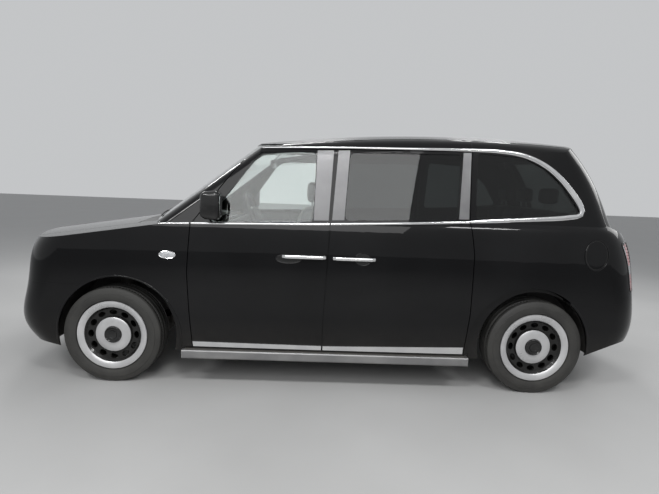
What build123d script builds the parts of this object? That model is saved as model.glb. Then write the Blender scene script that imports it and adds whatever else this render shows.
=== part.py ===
from build123d import *
from math import atan, degrees, sqrt
import os

# Purpose-built taxi cab, whole vehicle, millimetres.
# +Z up, nose towards -X, the vehicle's own right side towards +Y.
# Origin on the ground below the middle of the body.

# Wheels and axles
FRONT_AXLE_X = -1560
WHEELBASE = 2985
REAR_AXLE_X = FRONT_AXLE_X + WHEELBASE
TYRE_RADIUS = 340
TYRE_WIDTH = 215
TREAD_WIDTH = 160
TYRE_PLANE_Y = 790
BEAD_RADIUS = 228
RIM_RADIUS = 240
RIM_WIDTH = 190
RIM_WALL = 9
SEAT_GAP = 0.3

# Body
SHELL = 90
FRAME = 45
SKIN = 35
OUTER_LAYER = 25
SEAM = 6
RABBET = 40
RABBET_GAP = 14
BONNET_SLOPE = 0.16
BONNET_CROWN = 9000
BONNET_REAR_X = -1440
BONNET_REAR_TOP = 1146
BONNET_HALF = 700
BONNET_LIP = 905
COWL_REAR_X = -1200
ROOF_TOP = 1863
ROOF_PEAK_X = 892
ROOF_ARC = 11000
ROOF_CROWN_HALF = 666
ROOF_CROWN_DROP = 74
BUMPER_TOP_FRONT = 707
BUMPER_TOP_REAR = 700
FLOOR_TOP = 370
FLOOR_PLATE = 40
LINER_WALL = 8
GLASS = 5
GLASS_DEPTH = 6

# Plan of the lower body at each height: nose, half width and tail.
LOWER_SECTIONS = (
    # height, nose, half, tail
    (150, -2305, 900, 2262),
    (330, -2392, 920, 2352),
    (520, -2424, 934, 2416),
    (720, -2380, 937, 2398),
    (950, -2332, 930, 2360),
    (1060, -2246, 922, 2330),
    (1150, -2096, 908, 2290),
    (1340, -1590, 845, 2150),
)
LOWER_BOWS = (272, 342, 280, 260, 30)

# Plan of the cabin above the waist at each height.
CABIN_SECTIONS = (
    # height, nose, half, tail
    (1100, -1482, 892, 2165),
    (1335, -1179, 841, 2055),
    (1545, -908, 796, 1965),
    (1760, -622, 749, 1815),
    (1900, -420, 718, 1690),
)
CABIN_BOWS = (190, 185, 110, 170, 25)


def plan(row, bows, inset):
    """Body outline at one height: bowed nose, sides and tail with round corners."""
    height, nose, half, tail = row
    nose_bow, tail_bow, nose_corner, tail_corner, side_bow = bows
    nose, half, tail = nose + inset, half - inset, tail - inset
    middle, end = (nose + tail) / 2, half - side_bow
    front, rear = nose + nose_bow, tail - tail_bow
    face = make_face(
        [
            ThreePointArc((front, -end), (nose, 0), (front, end)),
            ThreePointArc((front, end), (middle, half), (rear, end)),
            ThreePointArc((rear, end), (tail, 0), (rear, -end)),
            ThreePointArc((rear, -end), (middle, -half), (front, -end)),
        ]
    )
    face = fillet([v for v in face.vertices() if v.X < middle], nose_corner - inset / 2)
    tail_ends = [v for v in face.vertices() if abs(v.X - rear) < 1 and abs(abs(v.Y) - end) < 1]
    return Pos(0, 0, height) * fillet(tail_ends, tail_corner - inset / 2)


def prism(points, radius=0, half=1200):
    """Side-view outline in X and Z, taken right across the vehicle."""
    path = FilletPolyline(*points, radius=radius, close=True) if radius else Polyline(*points, close=True)
    return extrude(Plane.XZ * make_face(path), half, both=True)


def front_prism(points, x_low, x_high):
    """End-view outline in Y and Z, taken from x_low to x_high."""
    return extrude(Plane.YZ.offset(x_low) * make_face(Polyline(*points, close=True)), x_high - x_low)


def block(x_low, x_high, y_low, y_high, z_low, z_high):
    size = (x_high - x_low, y_high - y_low, z_high - z_low)
    return Pos(x_low + size[0] / 2, y_low + size[1] / 2, z_low + size[2] / 2) * Box(*size)


def rod_y(radius, x, z, y_low, y_high):
    return Pos(x, (y_low + y_high) / 2, z) * Rot(90, 0, 0) * Cylinder(radius, y_high - y_low)


def rod_z(radius, x, y, z_low, z_high):
    return Pos(x, y, (z_low + z_high) / 2) * Cylinder(radius, z_high - z_low)


def mirrored(solid):
    return mirror(solid, about=Plane.XZ)


def both_sides(solid):
    return Compound([*solid.solids(), *mirrored(solid).solids()])


def under_bonnet(drop):
    """All that lies under the crowned, forward-falling bonnet surface."""
    half, depth = 1000, 1400
    sag = BONNET_CROWN - sqrt(BONNET_CROWN**2 - half**2)
    section = make_face(
        [
            ThreePointArc((-half, -sag), (0, 0), (half, -sag)),
            Polyline((half, -sag), (half, -depth), (-half, -depth), (-half, -sag)),
        ]
    )
    solid = extrude(Plane.YZ * section, 1500, both=True)
    top = BONNET_REAR_TOP - drop
    return Pos(BONNET_REAR_X, 0, top) * Rot(0, -degrees(atan(BONNET_SLOPE)), 0) * solid


def above_belt(inset):
    """All that lies over the rising waist line and the tail shelf."""
    waist = ThreePointArc((COWL_REAR_X, 1142), (38, 1178), (1627, 1275))
    low = 0.8 * inset
    shelf = Polyline(
        (1627, 1275), (1800 - inset, 1254), (1890 - inset, 1222 - low), (1970 - inset, 1190 - low),
        (2070 - inset, 1162 - low), (2170 - inset, 1128 - low), (2250 - inset, 1080 - low),
        (2320 - inset, 1010 - low), (2600, 1010 - low), (2600, 1600), (COWL_REAR_X, 1600), (COWL_REAR_X, 1142),
    )
    return extrude(Plane.XZ * make_face([waist, shelf]), 1200, both=True)


def lower_body(inset):
    body = loft([plan(row, LOWER_BOWS, inset) for row in LOWER_SECTIONS])
    bonnet_space = block(-3000, COWL_REAR_X, -1200, 1200, 0, 1800) - under_bonnet(inset)
    return body - bonnet_space - above_belt(inset)


def cabin(inset):
    body = loft([plan(row, CABIN_BOWS, inset) for row in CABIN_SECTIONS])
    crown, drop = ROOF_CROWN_HALF, ROOF_CROWN_DROP
    gutter, gutter_drop = 765, 180
    shoulder, shoulder_drop = 730, 110
    section = make_face(
        [
            ThreePointArc((-crown, -drop), (0, 0), (crown, -drop)),
            ThreePointArc((crown, -drop), (shoulder, -shoulder_drop), (gutter, -gutter_drop)),
            Polyline(
                (gutter, -gutter_drop), (950, -400), (950, -900),
                (-950, -900), (-950, -400), (-gutter, -gutter_drop),
            ),
            ThreePointArc((-gutter, -gutter_drop), (-shoulder, -shoulder_drop), (-crown, -drop)),
        ]
    )
    top = ROOF_TOP - inset
    axis = Axis((ROOF_PEAK_X, 0, top - ROOF_ARC), (0, 1, 0))
    face = (Pos(ROOF_PEAK_X, 0, top) * (Plane.YZ * section)).rotate(axis, -13)
    return body & revolve(face, axis, 26)


LOWER_OUT = lower_body(0)
LOWER_CLEAR = lower_body(-SEAT_GAP)
LOWER_SKIN = lower_body(SKIN)
LOWER_BACKING = lower_body(SKIN + SEAT_GAP)
LOWER_INSIDE = lower_body(SHELL)
FLOOR_SPACE = lower_body(SHELL + SEAT_GAP)
CABIN_OUT = cabin(0)
CABIN_INSIDE = cabin(FRAME)
GLASS_BAND = cabin(GLASS_DEPTH) - cabin(GLASS_DEPTH + GLASS)

# The left side wall: all doors, pillars, sill and rear quarter are cut from it.
SIDE = block(-1290, 2500, -1200, -600, 240, 2000)
SIDE_OUT = (LOWER_OUT & SIDE) + (CABIN_OUT & SIDE)
SIDE_INSIDE = (LOWER_INSIDE & SIDE) + (CABIN_INSIDE & SIDE)
FLANGE_BACK = (lower_body(OUTER_LAYER) & SIDE) + (cabin(OUTER_LAYER - 5) & SIDE)
FRAME_FACE = (lower_body(OUTER_LAYER + SEAM) & SIDE) + (cabin(OUTER_LAYER + 1) & SIDE)
NOSE = block(-2600, -985, -1200, 1200, 150, 1400)
NOSE_BAND = (LOWER_OUT & NOSE) - LOWER_SKIN
WING_BAND = LOWER_CLEAR - LOWER_BACKING

# Wheel wells. The lip is the opening seen in the side, the well is the space behind it.
WELLS = (
    # axle x, lip x, lip radius, well radius, inner y
    (FRONT_AXLE_X, -1500, 430, 432, 400),
    (REAR_AXLE_X, 1362, 432, 395, 650),
)
LIP_INNER_Y = 875


def well(row, grow=0):
    axle_x, lip_x, lip_radius, radius, inner_y = row
    deep = rod_y(radius + grow, axle_x, TYRE_RADIUS, -LIP_INNER_Y - grow, -inner_y + grow)
    return deep + rod_y(lip_radius + grow, lip_x, TYRE_RADIUS, -1200, -LIP_INNER_Y + 15)


WELL_LEFT = well(WELLS[0]) + well(WELLS[1])
WELLS_BOTH = both_sides(WELL_LEFT)
LINER_SPACE = both_sides(well(WELLS[0], LINER_WALL + SEAT_GAP) + well(WELLS[1], LINER_WALL + SEAT_GAP))

# Door outlines in side view, taken along the middle of the seam.
FRONT_DOOR = (
    (-992, 282), (-1012, 533), (-1028, 818), (-1010, 1149), (-623, 1672),
    (-43, 1684), (-66, 1187), (-71, 959), (-90, 516), (-91, 282),
)
REAR_DOOR = (
    (-91, 282), (-90, 516), (-71, 959), (-60, 1187), (-29, 1686),
    (915, 1703), (902, 1222), (934, 994), (932, 578), (908, 282),
)
FRONT_GLASS = ((-915, 1156), (-558, 1650), (-171, 1660), (-181, 1183))
REAR_GLASS = ((38, 1198), (65, 1664), (847, 1681), (819, 1233))
QUARTER_GLASS = ((945, 1242), (952, 1696), (1285, 1676), (1440, 1600), (1560, 1490), (1690, 1300), (1600, 1272))


def outline(points, grow):
    """Closed side-view outline moved out by grow, or in where it is negative."""
    face = Plane.XZ * make_face(Polyline(*points, close=True))
    if grow:
        face = offset(face, grow, kind=Kind.INTERSECTION)
    return extrude(face, 1200)


def rounded_window(points, radius, grow=0):
    face = Plane.XZ * make_face(FilletPolyline(*points, radius=radius, close=True))
    if grow:
        face = offset(face, grow, kind=Kind.INTERSECTION)
    return extrude(face, 1200)


# Middle strips in front view: windscreen and roof ahead, tailgate behind.
MIDDLE_FRONT = ((-778, 1100), (-662, 1720), (-662, 2000), (662, 2000), (662, 1720), (778, 1100))
MIDDLE_REAR = ((-645, 711), (-645, 1230), (-610, 1900), (610, 1900), (645, 1230), (645, 711))
ROOF_REAR_X = 1700
HEADER_Z = 1722


def grown(points, amount):
    """End-view outline widened sideways by amount."""
    return tuple((y + amount if y > 0 else y - amount, z) for y, z in points)


# The windscreen pillar runs on between the glass and the front door's top corner.
PILLAR_STRIP = front_prism(grown(MIDDLE_FRONT, 24), -2000, -400)
PILLAR_ROOM = front_prism(grown(MIDDLE_FRONT, 24 + SEAM), -2000, -400)
STEP_ROOM = block(-1300, 960, -1200, -855, 0, 279)
# Room below the front door's top corner as it swings.
SWING_ROOM = block(-1012, -965, -880, -845, 1144, 1150)


def door(points, glass):
    """Stepped slab: full outline in the outer layer, smaller behind it."""
    slab = SIDE_OUT & outline(points, -SEAM / 2)
    slab -= (FLANGE_BACK & outline(points, 20)) - outline(points, -RABBET)
    return slab - SIDE_INSIDE - rounded_window(glass, 30) - WELL_LEFT - PILLAR_ROOM


FRONT_DOOR_LEFT = door(FRONT_DOOR, FRONT_GLASS)
REAR_DOOR_LEFT = door(REAR_DOOR, REAR_GLASS)

BUMPER_REAR_LINE = ((1600, 655), (1800, 655), (2060, BUMPER_TOP_REAR), (2600, BUMPER_TOP_REAR), (2600, 0), (1600, 0))


# Tail lamps stand on the rear corners.
LAMP_LOW, LAMP_HIGH, LAMP_FRONT, LAMP_IN, LAMP_OUT = 765, 1106, 2030, -690, -850
LAMP_POCKET = block(LAMP_FRONT, 2400, LAMP_OUT, LAMP_IN, LAMP_LOW, LAMP_HIGH)
LAMP_BLOCK = block(
    LAMP_FRONT + SEAT_GAP, 2400, LAMP_OUT + SEAT_GAP, LAMP_IN - SEAT_GAP, LAMP_LOW + SEAT_GAP, LAMP_HIGH - SEAT_GAP
)
TAIL_LAMP = (lower_body(2) & LAMP_BLOCK) - LOWER_SKIN
WING_TOP_Y = 870


def side_frame():
    """Pillars, sill, roof rail and rear quarter of the left side."""
    frame = SIDE_OUT - SIDE_INSIDE
    for points in (FRONT_DOOR, REAR_DOOR):
        frame -= outline(points, SEAM / 2) - FRAME_FACE - PILLAR_STRIP
        frame -= outline(points, RABBET_GAP - RABBET) - PILLAR_STRIP
    wing_room = block(-1400, COWL_REAR_X + SEAT_GAP, -1200, -600, 0, 1300)
    wing_room += block(COWL_REAR_X, -985, -1200, -WING_TOP_Y + SEAT_GAP, 0, 1300)
    frame -= WING_BAND & wing_room
    frame -= STEP_ROOM
    frame -= SWING_ROOM
    frame -= front_prism(grown(MIDDLE_FRONT, 1), -2000, ROOF_REAR_X)
    frame -= front_prism(grown(MIDDLE_REAR, SEAM), ROOF_REAR_X, 2600)
    frame -= prism(BUMPER_REAR_LINE)
    frame -= rounded_window(QUARTER_GLASS, 25)
    frame -= LAMP_POCKET - LOWER_BACKING
    frame = frame - WELL_LEFT - LINER_SPACE
    return Compound([s for s in frame.solids() if s.volume > 1e6])


SIDE_FRAME_LEFT = side_frame()

# Front wings reach from the nose to the front doors.
GRILLE_HALF, GRILLE_LOW, GRILLE_HIGH = 430, 560, BONNET_LIP - SEAM
HEADLAMP_Y, HEADLAMP_Z, HEADLAMP_RADIUS = 600, 806, 96


def wing():
    solid = NOSE_BAND & block(-2600, -985, -1200, -GRILLE_HALF, 260, 1400)
    solid -= block(-2600, BONNET_REAR_X + SEAM, -BONNET_HALF - SEAM, 0, BONNET_LIP, 1400)
    solid -= block(BONNET_REAR_X + SEAM, 0, -BONNET_HALF - SEAM, 0, 500, 1400)
    solid -= block(-2600, -1500, -1200, 0, 0, BUMPER_TOP_FRONT)
    solid -= outline(FRONT_DOOR, SEAM / 2)
    solid -= block(COWL_REAR_X, 0, -WING_TOP_Y, 0, 1100, 1400)
    solid = solid - WELL_LEFT - STEP_ROOM
    solid -= Pos(-2300, -HEADLAMP_Y, HEADLAMP_Z) * Rot(0, 90, 0) * Cylinder(HEADLAMP_RADIUS + SEAT_GAP, 700)
    return Compound([s for s in solid.solids() if s.volume > 1e6])


WING_LEFT = wing()

BONNET = NOSE_BAND & block(-2600, BONNET_REAR_X, -BONNET_HALF, BONNET_HALF, BONNET_LIP, 1400)
COWL = NOSE_BAND & block(BONNET_REAR_X + SEAM, COWL_REAR_X, -BONNET_HALF - SEAM, BONNET_HALF + SEAM, 1000, 1400)
BULKHEAD_HALF = 805
BULKHEAD = block(-1290, -1262, -BULKHEAD_HALF, BULKHEAD_HALF, FLOOR_TOP - FLOOR_PLATE, 1090)
BULKHEAD = (BULKHEAD & FLOOR_SPACE) - LINER_SPACE

FRONT_BUMPER = NOSE_BAND & block(-2600, -1500, -1200, 1200, 150, BUMPER_TOP_FRONT - 0.5)
FRONT_BUMPER = FRONT_BUMPER - WELLS_BOTH - block(-2600, -1900, -GRILLE_HALF, GRILLE_HALF, GRILLE_LOW, 800)
FRONT_BUMPER -= block(-2600, -1900, -480, 480, 250, 330)
FRONT_UNDERSIDE = Plane((-2000, -800, 240), z_dir=(0.235, 0.41, 1)) * (Pos(0, 0, -500) * Box(2000, 2000, 1000))
FRONT_BUMPER -= both_sides(FRONT_UNDERSIDE)
REAR_BUMPER = (LOWER_OUT & prism(BUMPER_REAR_LINE) & block(1500, 2600, -1200, 1200, 200, 720)) - LOWER_SKIN
REAR_BUMPER_TOP = ((1600, 655.5), (1800, 655.5), (2060, 699.5), (2600, 699.5), (2600, 900), (1600, 900))
REAR_BUMPER = REAR_BUMPER - WELLS_BOTH - prism(REAR_BUMPER_TOP)
REAR_UNDERSIDE = Plane((2000, -800, 333), z_dir=(-0.432, 0.625, 1)) * (Pos(0, 0, -500) * Box(2000, 2000, 1000))
REAR_BUMPER -= both_sides(REAR_UNDERSIDE)

# Radiator grille: a frame with upright bars.
GRILLE_BARS = 15
GRILLE_BORDER = 22
GRILLE_BAR = 10


def grille():
    seat = GRILLE_HALF - SEAT_GAP
    band = lower_body(4) & block(-2600, -1900, -seat, seat, GRILLE_LOW + SEAT_GAP, GRILLE_HIGH)
    band -= lower_body(SKIN - 5)
    half = GRILLE_HALF - GRILLE_BORDER
    hole = block(-2600, -1900, -half, half, GRILLE_LOW + GRILLE_BORDER, GRILLE_HIGH - GRILLE_BORDER)
    pitch = 2 * half / (GRILLE_BARS + 1)
    for i in range(GRILLE_BARS):
        y = -half + pitch * (i + 1)
        hole -= block(-2600, -1900, y - GRILLE_BAR / 2, y + GRILLE_BAR / 2, 0, 1000)
    return band - hole


GRILLE = grille()

# Round headlamps, cut back to follow the nose.
lamp_tube = Pos(-2250, -HEADLAMP_Y, HEADLAMP_Z) * Rot(0, 90, 0) * Cylinder(HEADLAMP_RADIUS, 500)
HEADLAMP_LEFT = (lamp_tube & lower_body(3)) - lower_body(110)

# Roof, windscreen and tailgate
ROOF = CABIN_OUT & block(-1400, ROOF_REAR_X - SEAM / 2, -900, 900, HEADER_Z, 2000)
ROOF = (ROOF & front_prism(MIDDLE_FRONT, -1400, ROOF_REAR_X)) - CABIN_INSIDE
WINDSCREEN = GLASS_BAND & front_prism(MIDDLE_FRONT, -1600, -400)
WINDSCREEN &= block(-1600, -400, -900, 900, 1100, HEADER_Z - SEAT_GAP)
WINDSCREEN -= lower_body(-2)
TAIL = front_prism(MIDDLE_REAR, ROOF_REAR_X + SEAM / 2, 2600)
TAIL &= block(1700, 2600, -700, 700, BUMPER_TOP_REAR + SEAM, 2000)
REAR_WINDOW = ((-570, 1270), (-545, 1700), (545, 1700), (570, 1270))
TAILGATE = (LOWER_OUT & TAIL) + (CABIN_OUT & TAIL)
TAILGATE = TAILGATE - LOWER_INSIDE - CABIN_INSIDE - front_prism(REAR_WINDOW, 1400, 2600)
REAR_SCREEN = GLASS_BAND & front_prism(grown(REAR_WINDOW, -SEAT_GAP), 1720, 2600)
REAR_SCREEN &= block(1720, 2600, -700, 700, 1270 + SEAT_GAP, 1700 - SEAT_GAP)

QUARTER_PANE = GLASS_BAND & rounded_window(QUARTER_GLASS, 25, -SEAT_GAP)
FRONT_PANE = GLASS_BAND & rounded_window(FRONT_GLASS, 30, -SEAT_GAP)
REAR_PANE = GLASS_BAND & rounded_window(REAR_GLASS, 30, -SEAT_GAP)
FRONT_PANE -= LOWER_OUT
REAR_PANE -= LOWER_OUT
QUARTER_PANE -= LOWER_OUT

# Floor and what stands on it
FLOOR_HALF = 800
FLOOR = block(-1262, 2200, -FLOOR_HALF, FLOOR_HALF, FLOOR_TOP - FLOOR_PLATE, FLOOR_TOP)
BOOT_FLOOR_X, BOOT_FLOOR_Z = 950, 620
FLOOR -= block(BOOT_FLOOR_X + FLOOR_PLATE, 2300, -FLOOR_HALF, FLOOR_HALF, 0, FLOOR_TOP)
FLOOR += block(
    BOOT_FLOOR_X, BOOT_FLOOR_X + FLOOR_PLATE, -FLOOR_HALF, FLOOR_HALF, FLOOR_TOP - FLOOR_PLATE, BOOT_FLOOR_Z
)
FLOOR += block(BOOT_FLOOR_X, 2230, -FLOOR_HALF, FLOOR_HALF, BOOT_FLOOR_Z - FLOOR_PLATE, BOOT_FLOOR_Z)
FLOOR = (FLOOR & FLOOR_SPACE) - LINER_SPACE


def liner(row, bottom):
    """Half-round wheel arch liner with its inner wall."""
    axle_x, lip_x, lip_radius, radius, inner_y = row
    outer = rod_y(radius + LINER_WALL, axle_x, TYRE_RADIUS, -LIP_INNER_Y + 5, -inner_y + LINER_WALL)
    solid = outer - rod_y(radius, axle_x, TYRE_RADIUS, -1200, -inner_y)
    return solid & block(-2600, 2600, -1200, 0, bottom, 1200) & LOWER_BACKING


FRONT_LINER = liner(WELLS[0], 400) - block(-1300, -900, -1200, -780, 0, 1400)
REAR_LINER = liner(WELLS[1], 400) & FLOOR_SPACE

# Under the body: battery, power unit, subframe with the lower arms, and struts
BATTERY = block(-880, 880, -560, 560, 205, FLOOR_TOP - FLOOR_PLATE - SEAT_GAP)
POWER_UNIT = block(-2080, -1420, -330, 330, 330, 960)
KING_Y = 670
ARM = block(FRONT_AXLE_X - 45, FRONT_AXLE_X + 45, -KING_Y - 40, -360, 215, 240)
SUBFRAME = block(-1900, -1330, -360, 360, 215, 330 - SEAT_GAP) + block(-1331, -1200, -300, 300, 260, 330 - SEAT_GAP)
SUBFRAME += ARM + mirrored(ARM)
KING_TOP = 487.7
STRUT_Y, SPRING_RADIUS = 595, 50
STRUT_TOP = TYRE_RADIUS + sqrt(WELLS[0][3] ** 2 - SPRING_RADIUS**2) - SEAT_GAP
STRUT = rod_z(28, FRONT_AXLE_X, -STRUT_Y, KING_TOP + SEAT_GAP, 700)
STRUT += rod_z(SPRING_RADIUS, FRONT_AXLE_X, -STRUT_Y, 590, STRUT_TOP)
STRUT += block(FRONT_AXLE_X - 25, FRONT_AXLE_X + 25, -655, -565, KING_TOP + SEAT_GAP, 515)
RADIATOR = block(-2235, -2195, -400, 400, 420, 880)
RADIATOR += block(-2196, -2080 - SEAT_GAP, -300, 300, 440, 520)

# Rear axle and drive
REAR_DRIVE = block(REAR_AXLE_X - 220, REAR_AXLE_X + 200, -260, 260, 190, BOOT_FLOOR_Z - FLOOR_PLATE - SEAT_GAP)
REAR_AXLE = rod_y(42, REAR_AXLE_X, TYRE_RADIUS, -739.7, -260.3)

# Knuckles turn on the kingpins.
HUB_RADIUS, HUB_FACE_Y = 58, 739.7
KNUCKLE = rod_z(34, FRONT_AXLE_X, -KING_Y, 240 + SEAT_GAP, KING_TOP)
KNUCKLE += rod_y(HUB_RADIUS, FRONT_AXLE_X, TYRE_RADIUS, -HUB_FACE_Y, -KING_Y)
KNUCKLE += block(FRONT_AXLE_X, FRONT_AXLE_X + 150, -KING_Y - 15, -KING_Y + 15, 290, 320)


def tyre():
    """One revolved section: tread, shoulders, round side walls and beads inside the rim's lip."""
    half, tread, bead = TYRE_WIDTH / 2, TREAD_WIDTH / 2, RIM_WIDTH / 2 - 9 - SEAT_GAP
    mid, seat_top = (BEAD_RADIUS + TYRE_RADIUS) / 2, RIM_RADIUS + 3
    section = make_face(
        [
            Line((-tread, TYRE_RADIUS), (tread, TYRE_RADIUS)),
            ThreePointArc((tread, TYRE_RADIUS), (half - 8, TYRE_RADIUS - 14), (half, mid)),
            ThreePointArc((half, mid), (half - 5, mid - 25), (bead, seat_top)),
            Polyline((bead, seat_top), (bead, BEAD_RADIUS), (-bead, BEAD_RADIUS), (-bead, seat_top)),
            ThreePointArc((-bead, seat_top), (5 - half, mid - 25), (-half, mid)),
            ThreePointArc((-half, mid), (8 - half, TYRE_RADIUS - 14), (-tread, TYRE_RADIUS)),
        ]
    )
    return revolve(section, Axis.X)


HOLES, HOLE_CIRCLE = 12, 159
HOLE_LONG, HOLE_SHORT = 53, 38


def wheel():
    """Steel wheel: barrel, trim ring, pierced ring, raised disc, cap and brake disc.
    Local X is the distance out from the tyre's middle plane."""
    outer, face = RIM_WIDTH / 2, 72
    barrel = BEAD_RADIUS - SEAT_GAP
    profile = Polyline(
        (4 - outer, barrel - RIM_WALL), (4 - outer, barrel), (outer - 9, barrel),
        (outer - 5, RIM_RADIUS), (outer, RIM_RADIUS), (outer, RIM_RADIUS - 12), (face + 12, 196),
        (face - 2, 184), (face - 12, 128), (face, 124), (face + 4, 60), (face + 16, 56), (face + 20, 0),
        (-50, 0), (-50, 60), (face - 26, 62), (face - 26, 180), (face - 6, 206), (face - 6, barrel - RIM_WALL),
        close=True,
    )
    solid = revolve(make_face(profile), Axis.X)
    holes = Sketch() + [
        spot * Ellipse(HOLE_SHORT / 2, HOLE_LONG / 2) for spot in PolarLocations(HOLE_CIRCLE, HOLES)
    ]
    solid -= extrude(Plane.YZ.offset(30) * holes, 80)
    return solid + Pos(-30, 0, 0) * Rot(0, 90, 0) * Cylinder(150, 24)


TYRE, WHEEL = tyre(), wheel()


# Inside the cab, seen through the glass
ROOM = lower_body(SHELL + SEAM) + cabin(FRAME + SEAM)
SEAT_Y = -400
DASH_LINE = (
    (-1261.7, 820), (-1261.7, 1090), (-1190, 1110), (-1080, 1133), (-930, 1128),
    (-860, 1040), (-880, 900), (-1000, 820),
)
DASHBOARD = prism(DASH_LINE, half=790) & ROOM
COLUMN_TILT = 22
WHEEL_CENTRE = (-640, SEAT_Y, 1180)
WHEEL_PLACE = Pos(*WHEEL_CENTRE) * Rot(0, 90 - COLUMN_TILT, 0)
STEERING_WHEEL = WHEEL_PLACE * (
    Torus(178, 14) + Pos(0, 0, -8) * Box(34, 340, 12) + Pos(85, 0, -8) * Box(160, 34, 12)
    + Pos(0, 0, -8) * Cylinder(62, 26)
)
COLUMN_LONG, HUB_BACK = 300, -21
COLUMN = WHEEL_PLACE * Pos(0, 0, HUB_BACK - SEAT_GAP - COLUMN_LONG / 2) * Cylinder(32, COLUMN_LONG)
COLUMN -= prism(DASH_LINE, half=790)


def seat(x_front, x_back, y, width, base, cushion_top, back_top, recline):
    """Cushion and backrest as plain soft blocks."""
    cushion = block(x_front, x_back, y - width / 2, y + width / 2, base, cushion_top)
    back = prism(
        ((x_back - 120, cushion_top - 60), (x_back + 20, cushion_top - 60),
         (x_back + 20 + recline, back_top), (x_back - 80 + recline, back_top)), half=2000)
    return cushion + (back & block(-2000, 2600, y - width / 2, y + width / 2, 0, 2000))


DRIVER_SEAT = seat(-640, -240, SEAT_Y, 500, 560, 700, 1270, 60)
DRIVER_SEAT += block(-240, -160, SEAT_Y - 130, SEAT_Y + 130, 1260, 1460)
DRIVER_SEAT += block(-560, -240, SEAT_Y - 200, SEAT_Y + 200, FLOOR_TOP + SEAT_GAP, 560)
PARTITION_X, PARTITION_WALL = -60, 30
PARTITION = block(PARTITION_X, PARTITION_X + PARTITION_WALL, -900, 900, FLOOR_TOP + SEAT_GAP, 1900) & ROOM
PARTITION_WINDOW = ((-640, 1180), (-560, 1640), (560, 1640), (640, 1180))
PARTITION -= front_prism(PARTITION_WINDOW, -200, 200)
PARTITION_PANE = front_prism(grown(PARTITION_WINDOW, -SEAT_GAP), PARTITION_X + 12, PARTITION_X + 18)
PARTITION_PANE &= block(-200, 200, -900, 900, 1180 + SEAT_GAP, 1640 - SEAT_GAP)
REAR_BENCH = seat(1090, 1560, 0, 1280, BOOT_FLOOR_Z + SEAT_GAP, 790, 1330, 110)
for y in (-430, 0, 430):
    REAR_BENCH += block(1600, 1680, y - 120, y + 120, 1320, 1480)
FOLD_SEATS = Compound(
    [
        block(PARTITION_X + PARTITION_WALL + SEAT_GAP, PARTITION_X + PARTITION_WALL + 110, y - 200, y + 200, 600, 1130)
        for y in (-480, 0, 480)
    ]
)

# Outside fittings on the left side
STEP = extrude(
    Plane.YZ.offset(-1064) * make_face(
        FilletPolyline((-938, 205), (-938, 268), (-855.3, 268), (-855.3, 205), radius=12, close=True)), 2005)
HANDLES = ((-385, -80, 948), (-40, 257, 945))


def handle(x_low, x_high, z):
    bar = block(x_low, x_high, -962, -944, z - 12, z + 12)
    for x in (x_low + 25, x_high - 25):
        bar += block(x - 18, x + 18, -945, -900, z - 10, z + 10)
    return bar - LOWER_CLEAR


MIRROR = block(-925, -790, -1018, -868, 1172, 1375)
MIRROR = fillet(MIRROR.edges(), 32)
MIRROR += block(-900, -830, -900, -840, 1190, 1240)
MIRROR = MIRROR - LOWER_CLEAR - cabin(-SEAT_GAP)

os.makedirs("parts", exist_ok=True)
NODES = {
    "roof_panel": ROOF,
    "windscreen": WINDSCREEN,
    "bonnet": BONNET,
    "cowl": COWL,
    "bulkhead": BULKHEAD,
    "front_bumper": FRONT_BUMPER,
    "rear_bumper": REAR_BUMPER,
    "grille": GRILLE,
    "radiator": RADIATOR,
    "tailgate": TAILGATE,
    "rear_window": REAR_SCREEN,
    "floor_pan": FLOOR,
    "battery_pack": BATTERY,
    "power_unit": POWER_UNIT,
    "front_suspension": Compound([*SUBFRAME.solids(), *both_sides(STRUT).solids()]),
    "rear_drive": REAR_DRIVE,
    "rear_axle": both_sides(REAR_AXLE),
    "front_arch_liners": both_sides(FRONT_LINER),
    "rear_arch_liners": both_sides(REAR_LINER),
    "headlamps": both_sides(HEADLAMP_LEFT),
    "tail_lamps": both_sides(TAIL_LAMP),
    "side_steps": both_sides(STEP),
    "quarter_windows": both_sides(QUARTER_PANE),
    "dashboard": DASHBOARD,
    "steering_column": COLUMN,
    "steering_wheel": STEERING_WHEEL,
    "driver_seat": DRIVER_SEAT,
    "partition": PARTITION,
    "partition_window": PARTITION_PANE,
    "rear_bench": REAR_BENCH,
    "folding_seats": FOLD_SEATS,
}
SIDED = {
    "side_frame": SIDE_FRAME_LEFT,
    "front_wing": WING_LEFT,
    "front_door": FRONT_DOOR_LEFT,
    "rear_door": REAR_DOOR_LEFT,
    "front_door_window": FRONT_PANE,
    "rear_door_window": REAR_PANE,
    "front_door_handle": handle(*HANDLES[0]),
    "rear_door_handle": handle(*HANDLES[1]),
    "door_mirror": MIRROR,
    "knuckle": KNUCKLE,
}
for name, solid in SIDED.items():
    NODES[name + "_left"] = solid
    NODES[name + "_right"] = mirrored(solid)
for axle, x in (("front", FRONT_AXLE_X), ("rear", REAR_AXLE_X)):
    for hand, side in (("left", -1), ("right", 1)):
        place = Pos(x, side * TYRE_PLANE_Y, TYRE_RADIUS) * Rot(0, 0, 90 * side)
        NODES[f"{axle}_tyre_{hand}"] = place * TYRE
        NODES[f"{axle}_wheel_{hand}"] = place * WHEEL
for name, solid in NODES.items():
    export_step(solid, f"parts/{name}.step")
    print(name, len(solid.solids()), round(solid.volume / 1e6, 2))
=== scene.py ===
import math
import bmesh
import bpy
from mathutils import Matrix, Vector
from mathutils.bvhtree import BVHTree


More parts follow.
